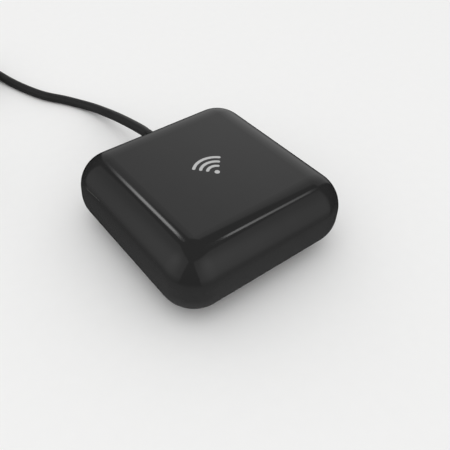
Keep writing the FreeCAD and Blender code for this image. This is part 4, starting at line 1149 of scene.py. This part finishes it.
@dataclass
class PowerCord:
    """Captive power lead: free stretch, coil put away behind the hub, and tail to the plug."""

    radius: float = 0.0019
    length: float = 0.941
    exit: Triple = (0.0035, 0.0400, 0.0135)
    coil_centre: Pair = COIL_CENTRE
    coil_start: float = math.radians(14.0)
    coil_inner: float = 0.0168
    coil_pitch: float = 0.00428
    coil_floor: float = 0.00265
    layer_rise: float = 0.00428
    turns_per_layer: float = 2.75
    points_per_turn: int = 16
    approach: float = 0.0138
    tail_first: float = 0.0118
    tail_steps: tuple[Triple, ...] = (
        (0.003308, -0.011535, -0.001406),
        (0.005044, -0.021383, -0.002930),
        (0.005288, -0.028379, -0.002930),
    )
    nudge: float = 0.00001

    def lead(self) -> np.ndarray:
        """Control points of the free stretch, straight out of the relief and down to the floor."""
        return np.array([
            self.exit,
            (0.0038, 0.0422, 0.0133),
            (0.0038, 0.0488, 0.0120),
            (0.0039, 0.0554, 0.0104),
            (0.0039, 0.0645, 0.00805),
            (0.0043, 0.0734, 0.0050),
            (0.0036, 0.0820, 0.00285),
            (0.00075, 0.0897, 0.0019),
            (-0.00325, 0.0966, 0.0019),
            (-0.00845, 0.1034, 0.0019),
            (-0.0123, 0.1118, 0.0019),
            (-0.0162, 0.1234, 0.0019),
        ])

    def turn(self, angle: np.ndarray) -> np.ndarray:
        """Points of the coil at angles counted from its start.

        The radius shrinks by a pitch a turn down to the inner turn and grows again on the
        second layer; a half turn around the innermost point lifts the line by one layer.

        Args:
            angle: Angles passed, in radians.

        Returns:
            One point for each angle.
        """
        past = angle - FULL_TURN * self.turns_per_layer
        radius = self.coil_inner + self.coil_pitch * np.abs(past) / FULL_TURN
        climb = np.clip(past + QUARTER_TURN, 0.0, math.pi)
        height = self.coil_floor + self.layer_rise * (1.0 - np.cos(climb)) / 2.0
        bearing = self.coil_start + angle
        x = self.coil_centre[0] + radius * np.cos(bearing)
        y = self.coil_centre[1] + radius * np.sin(bearing)
        return np.stack([x, y, height], axis=-1)

    def coil(self) -> np.ndarray:
        """Control points of both layers, set out so that the spline itself runs on the turns.

        A spline of the second degree passes a control point at three quarters of its place
        and an eighth of each neighbour's, which lies nearer the middle. The outset makes up
        for that.

        Returns:
            The control points.
        """
        whole = 2.0 * FULL_TURN * self.turns_per_layer
        count = int(round(2.0 * self.turns_per_layer * self.points_per_turn))
        points = self.turn(np.linspace(0.0, whole, count + 1))
        outset = 1.0 / (0.75 + 0.25 * math.cos(FULL_TURN / self.points_per_turn))
        centre = np.array(self.coil_centre)
        points[:, :2] = centre + (points[:, :2] - centre) * outset
        return points

    def direction(self, angle: float) -> np.ndarray:
        """Direction of travel on the coil at an angle."""
        ends = self.turn(np.array([angle - self.nudge, angle + self.nudge]))
        return (ends[1] - ends[0]) / np.linalg.norm(ends[1] - ends[0])

    def tail(self) -> np.ndarray:
        """Works out the control points from the coil's end down to the plug's relief.

        Returns:
            The control points.
        """
        whole = 2.0 * FULL_TURN * self.turns_per_layer
        first = self.turn(np.array(whole)) + self.direction(whole) * self.tail_first
        return np.concatenate([[first], first + np.array(self.tail_steps)])

    def route(self) -> np.ndarray:
        """All control points from the relief to the plug."""
        into_coil = self.turn(np.array(0.0)) - self.direction(0.0) * self.approach
        return np.concatenate([self.lead(), [into_coil], self.coil(), self.tail()])

    def build(self, finishes: Finishes, with_pieces: list[bpy.types.Object | str]) -> bpy.types.Object:
        """Makes the cord as one smooth spline with a round bevel.

        Args:
            finishes: The hub's finishes.
            with_pieces: What sits on the cord, its plug included; not used.

        Returns:
            The cord's curve object.
        """
        points = self.route()
        curve = bpy.data.curves.new("power_cord", "CURVE")
        curve.dimensions = "3D"
        curve.bevel_depth = self.radius
        curve.bevel_resolution = 6
        curve.use_fill_caps = True
        curve.resolution_u = 6
        curve.render_resolution_u = 6
        spline = curve.splines.new("NURBS")
        spline.points.add(len(points) - 1)
        spline.points.foreach_set("co", np.column_stack([points, np.ones(len(points))]).ravel())
        spline.order_u = 3
        spline.use_endpoint_u = True
        cord = link("power_cord", curve)
        finishes.dress(cord, "cord_jacket")
        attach(cord, HUB_BODY)
        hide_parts("cord_lead", "cord_coil", "cord_tail")
        log.info("power cord: %d control points", len(points))
        return cord


# Least distance ahead in metres, which keeps a division off zero.
LEAST_AHEAD = 0.001


def light_axes(azimuth: float, elevation: float = 0.0) -> tuple[Triple, Triple, Triple]:
    """Directions of a light as it is seen from the hub.

    Args:
        azimuth: Degrees from +X round to +Y.
        elevation: Degrees above the table.

    Returns:
        The direction to the light, the level one to its left and the one up it.
    """
    turn, rise = math.radians(azimuth), math.radians(elevation)
    level, lift = math.cos(rise), math.sin(rise)
    ahead = (math.cos(turn) * level, math.sin(turn) * level, lift)
    upward = (-math.cos(turn) * lift, -math.sin(turn) * lift, level)
    return ahead, (-math.sin(turn), math.cos(turn), 0.0), upward


@dataclass(frozen=True)
class Panel:
    """Upright soft panel of the tent: where it stands, and how its glow lies on it.

    X is the offset across over the distance ahead. Y is the height over that distance, and
    with a bow of one, over the level distance, as on a sheet bent round the table. Pairs are
    where a soft step begins and ends.
    """

    azimuth: float
    top: float
    edge: float
    glow_height: float
    peak: float
    spread: float
    right: Pair
    left: Pair
    foot: Pair = (-0.50, 0.05)
    squeeze: float = 0.70
    rest: float = 0.22
    bow: float = 0.0
    flare: float = 0.33
    flare_height: float = 0.8

    def glow(self, tree: Tree, towards: Socket) -> Number:
        """Radiance in a direction.

        The bell is e to the power of minus the squared offsets from the glow's middle over
        the squared spread. It stands on an even rest, and soft steps end both at the sides,
        the top and the foot. The sides lean out by the flare's share of the height.

        Args:
            tree: Node tree of the tent's material.
            towards: Direction from the hub.

        Returns:
            The radiance.
        """
        forward, sideways, upward = light_axes(self.azimuth)
        ahead = tree.math("MAXIMUM", tree.along(towards, forward), LEAST_AHEAD)
        beside = tree.along(towards, sideways)
        across = beside / ahead
        level = tree.math("SQRT", ahead * ahead + beside * beside)
        height = tree.along(towards, upward) / (level * self.bow + ahead * (1.0 - self.bow))
        off = (height - self.glow_height) * self.squeeze
        bell = tree.math("EXPONENT", (across * across + off * off) * (-1.0 / self.spread ** 2))
        width = across / (1.0 + (height - self.flare_height) * self.flare)
        sides = width.smooth(*self.right) * (1.0 - width.smooth(*self.left))
        ends = (1.0 - height.smooth(self.top - self.edge, self.top)) * height.smooth(*self.foot)
        return (bell * self.peak + self.rest) * sides * ends


@dataclass(frozen=True)
class Strip:
    """Small bright softbox, given in the plane square to its own direction.

    Places are offsets over distance, across it and up it. Up is slanted by a share of
    across, and the middle leans by a share of up. A faint halo lies about its own middle.
    Pairs are where a soft step begins and ends, and the level rises from low to high.
    """

    azimuth: float
    elevation: float
    middle: float
    lean: float
    half_width: float
    softness: float
    foot: Pair
    top: Pair
    low: float
    high: float
    slant: float = 0.0
    halo: float = 0.0
    halo_middle: float = -0.025
    halo_width: float = 0.12

    def glow(self, tree: Tree, towards: Socket) -> Number:
        """Radiance in a direction: a soft-edged box whose level rises from foot to top.

        Args:
            tree: Node tree of the tent's material.
            towards: Direction from the hub.

        Returns:
            The radiance.
        """
        forward, sideways, upward = light_axes(self.azimuth, self.elevation)
        ahead = tree.math("MAXIMUM", tree.along(towards, forward), LEAST_AHEAD)
        across = tree.along(towards, sideways) / ahead
        height = tree.along(towards, upward) / ahead - across * self.slant
        aside = across - self.middle - height * self.lean
        off = tree.math("ABSOLUTE", aside)
        box = 1.0 - off.smooth(self.half_width - self.softness, self.half_width + self.softness)
        ends = height.smooth(*self.foot) * (1.0 - height.smooth(*self.top))
        faint = 1.0 - tree.math("ABSOLUTE", aside - self.halo_middle).smooth(0.0, self.halo_width)
        shape = box * (1.0 - self.halo) + faint * ends * self.halo
        rising = height.smooth(self.foot[0], self.top[1]) * (self.high - self.low) + self.low
        return shape * ends * rising


@dataclass
class LightTent:
    """Dark tent round the table with three soft panels and two small softboxes.

    Only reflections see it. Under the table's height it has a faint glow, least behind the
    hub.
    """

    radius: float = 2.5
    rows: int = 40
    columns: int = 80
    pole: float = 0.02
    ground: float = 0.14
    ground_fade: float = 0.20
    ground_most: float = 0.165
    ground_edge: Pair = (0.20, 0.50)
    behind: Pair = (0.643, 0.766)
    panels: tuple[Panel, ...] = (
        Panel(azimuth=-78.5, top=1.86, edge=0.32, glow_height=0.60, peak=0.43, spread=0.55,
              right=(-0.97, -0.86), left=(0.86, 1.32), foot=(-0.55, 0.02), bow=0.25),
        Panel(azimuth=41.5, top=1.70, edge=0.24, glow_height=0.42, peak=0.45, spread=0.56,
              right=(-0.99, -0.85), left=(0.93, 1.07), flare=0.4),
        Panel(azimuth=161.5, top=1.93, edge=0.18, glow_height=0.55, peak=0.39, spread=0.50,
              right=(-1.20, -0.96), left=(0.90, 1.02), flare=0.24),
    )
    strips: tuple[Strip, ...] = (
        Strip(azimuth=92.0, elevation=51.2, middle=0.001, lean=-0.05, half_width=0.056,
              softness=0.032, foot=(-0.103, 0.0), top=(0.0845, 0.0905), low=4.2, high=4.2, halo=0.18),
        Strip(azimuth=-16.8, elevation=55.5, middle=-0.0005, lean=-0.09, half_width=0.042,
              softness=0.018, foot=(-0.0875, -0.0835), top=(0.0935, 0.0995), low=1.2, high=2.9,
              slant=0.40),
    )

    def shell(self) -> bpy.types.Object:
        """Makes the tent as a sphere round the table.

        A point is the radius times the sine of the angle from the pole along the turn's
        cosine and sine, and times its cosine upwards.

        Returns:
            The tent.
        """
        angle = np.linspace(self.pole, math.pi - self.pole, self.rows)[:, None]
        turn = around(self.columns)[None, :]
        height = np.broadcast_to(np.cos(angle), (self.rows, self.columns))
        grid = np.stack([np.sin(angle) * np.cos(turn), np.sin(angle) * np.sin(turn), height], axis=-1)
        return skin("light_tent", [Sheet(grid * self.radius)])

    def build(self) -> None:
        """Sets the tent up, which lights nothing and is seen by reflections alone."""
        tent = self.shell()
        material = bpy.data.materials.new("tent_glow")
        material.cycles.emission_sampling = "NONE"
        tree = Tree(material)
        towards = tree.object_place()
        behind = tree.along(towards, (*(part / self.radius for part in self.behind), 0.0))
        ground = tree.math("MINIMUM", self.ground - behind * self.ground_fade, self.ground_most)
        under = tree.along(towards, (0.0, 0.0, -1.0 / self.radius)).smooth(*self.ground_edge)
        glow = under * ground
        for light in (*self.panels, *self.strips):
            glow = glow + light.glow(tree, towards)
        emission = tree.add("ShaderNodeEmission", {}, {"Color": glow})
        tree.add("ShaderNodeOutputMaterial", {}, {"Surface": emission.outputs[0]})
        tent.data.materials.append(material)
        for ray in ("camera", "diffuse", "transmission", "volume_scatter", "shadow"):
            setattr(tent, "visible_" + ray, False)


@dataclass
class Camera:
    """Camera at the photograph's place and angle; the shift is its framing."""

    lens: float = 47.09
    sensor: float = 36.0
    shift: Pair = (0.1110, -0.1)
    clip: Pair = (0.01, 20.0)
    place: Triple = (-0.091912, -0.110635, 0.141858)
    right: Triple = (0.81296, -0.58231, 0.0)
    up: Triple = (0.37603, 0.52498, 0.76354)
    back: Triple = (-0.44462, -0.62073, 0.64576)

    def build(self) -> None:
        """Puts the camera up and makes it the scene's own."""
        data = bpy.data.cameras.new("camera")
        data.lens, data.sensor_width = self.lens, self.sensor
        data.shift_x, data.shift_y = self.shift
        data.clip_start, data.clip_end = self.clip
        camera = link("camera", data)
        aim = Matrix((self.right, self.up, self.back)).transposed().to_4x4()
        camera.matrix_world = Matrix.Translation(self.place) @ aim
        bpy.context.scene.camera = camera


@dataclass
class Studio:
    """Pale floor under an even sky and a large softbox, the tent of panels, and the camera."""

    sky: float = 0.84
    softbox_size: float = 1.2
    softbox_level: float = 1.0
    softbox_place: Triple = (-0.3, -0.2, 1.5)
    floor_half: float = 6.0
    paper_dark: Triple = (0.885, 0.885, 0.88)
    paper_light: Triple = (0.905, 0.905, 0.90)
    paper_roughness: float = 0.9
    fibre_size: float = 0.004

    def light_room(self) -> None:
        """Even pale light from everywhere."""
        world = bpy.data.worlds.new("studio")
        bpy.context.scene.world = world
        tree = Tree(world)
        sockets = {"Strength": self.sky, "Color": (1.0, 1.0, 1.0, 1.0)}
        sky = tree.add("ShaderNodeBackground", {}, sockets)
        tree.add("ShaderNodeOutputWorld", {}, {"Surface": sky.outputs[0]})

    def hang_softbox(self) -> None:
        """Large softbox overhead, which gloss doesn't pick up."""
        data = bpy.data.lights.new("overhead_softbox", "AREA")
        data.shape = "SQUARE"
        data.size = self.softbox_size
        data.energy = self.softbox_level * math.pi * self.softbox_size ** 2
        lamp = link("overhead_softbox", data)
        lamp.location = self.softbox_place
        lamp.rotation_euler = Vector(lamp.location).to_track_quat("Z", "Y").to_euler()
        lamp.visible_camera = lamp.visible_glossy = False

    def lay_floor(self) -> None:
        """One pale sheet under the hub, which gloss doesn't pick up either."""
        half = self.floor_half
        corners = [(-half, -half, 0.0), (half, -half, 0.0), (half, half, 0.0), (-half, half, 0.0)]
        mesh = bpy.data.meshes.new("floor")
        mesh.from_pydata(corners, [], [(0, 1, 2, 3)])
        material = bpy.data.materials.new("floor_paper")
        tree = Tree(material)
        fibre = tree.noise(tree.object_place(), self.fibre_size, detail=4.0)
        tint = tree.blend(fibre, shade(self.paper_dark, 1.0), shade(self.paper_light, 1.0))
        paper = tree.add("ShaderNodeBsdfPrincipled", {}, {
            "Base Color": tint, "Roughness": self.paper_roughness, "Specular IOR Level": 0.0})
        tree.add("ShaderNodeOutputMaterial", {}, {"Surface": paper.outputs[0]})
        mesh.materials.append(material)
        floor = link("floor", mesh)
        floor.visible_glossy = False

    def build(self) -> None:
        """Sets the whole studio up."""
        bpy.context.scene.view_settings.view_transform = "Standard"
        self.light_room()
        LightTent().build()
        self.hang_softbox()
        self.lay_floor()
        Camera().build()
        log.info("studio is set")


def main() -> None:
    """Builds the hub's looks in order."""
    logging.basicConfig(level=logging.INFO, format="%(name)s: %(message)s")
    finishes = Finishes()
    finishes.dress_solids(frame["nodes"])
    boot = StrainRelief().build(finishes)
    ResetButton().build(finishes)
    TopPrint().build()
    tie = CordTie().build(finishes)
    plug = PlugBody().build(finishes)
    on_cord = [boot, tie, *plug, "usb_plug_shell", "usb_plug_tongue", "usb_plug_contacts"]
    PowerCord().build(finishes, on_cord)
    Studio().build()


if __name__ == "__main__":
    main()
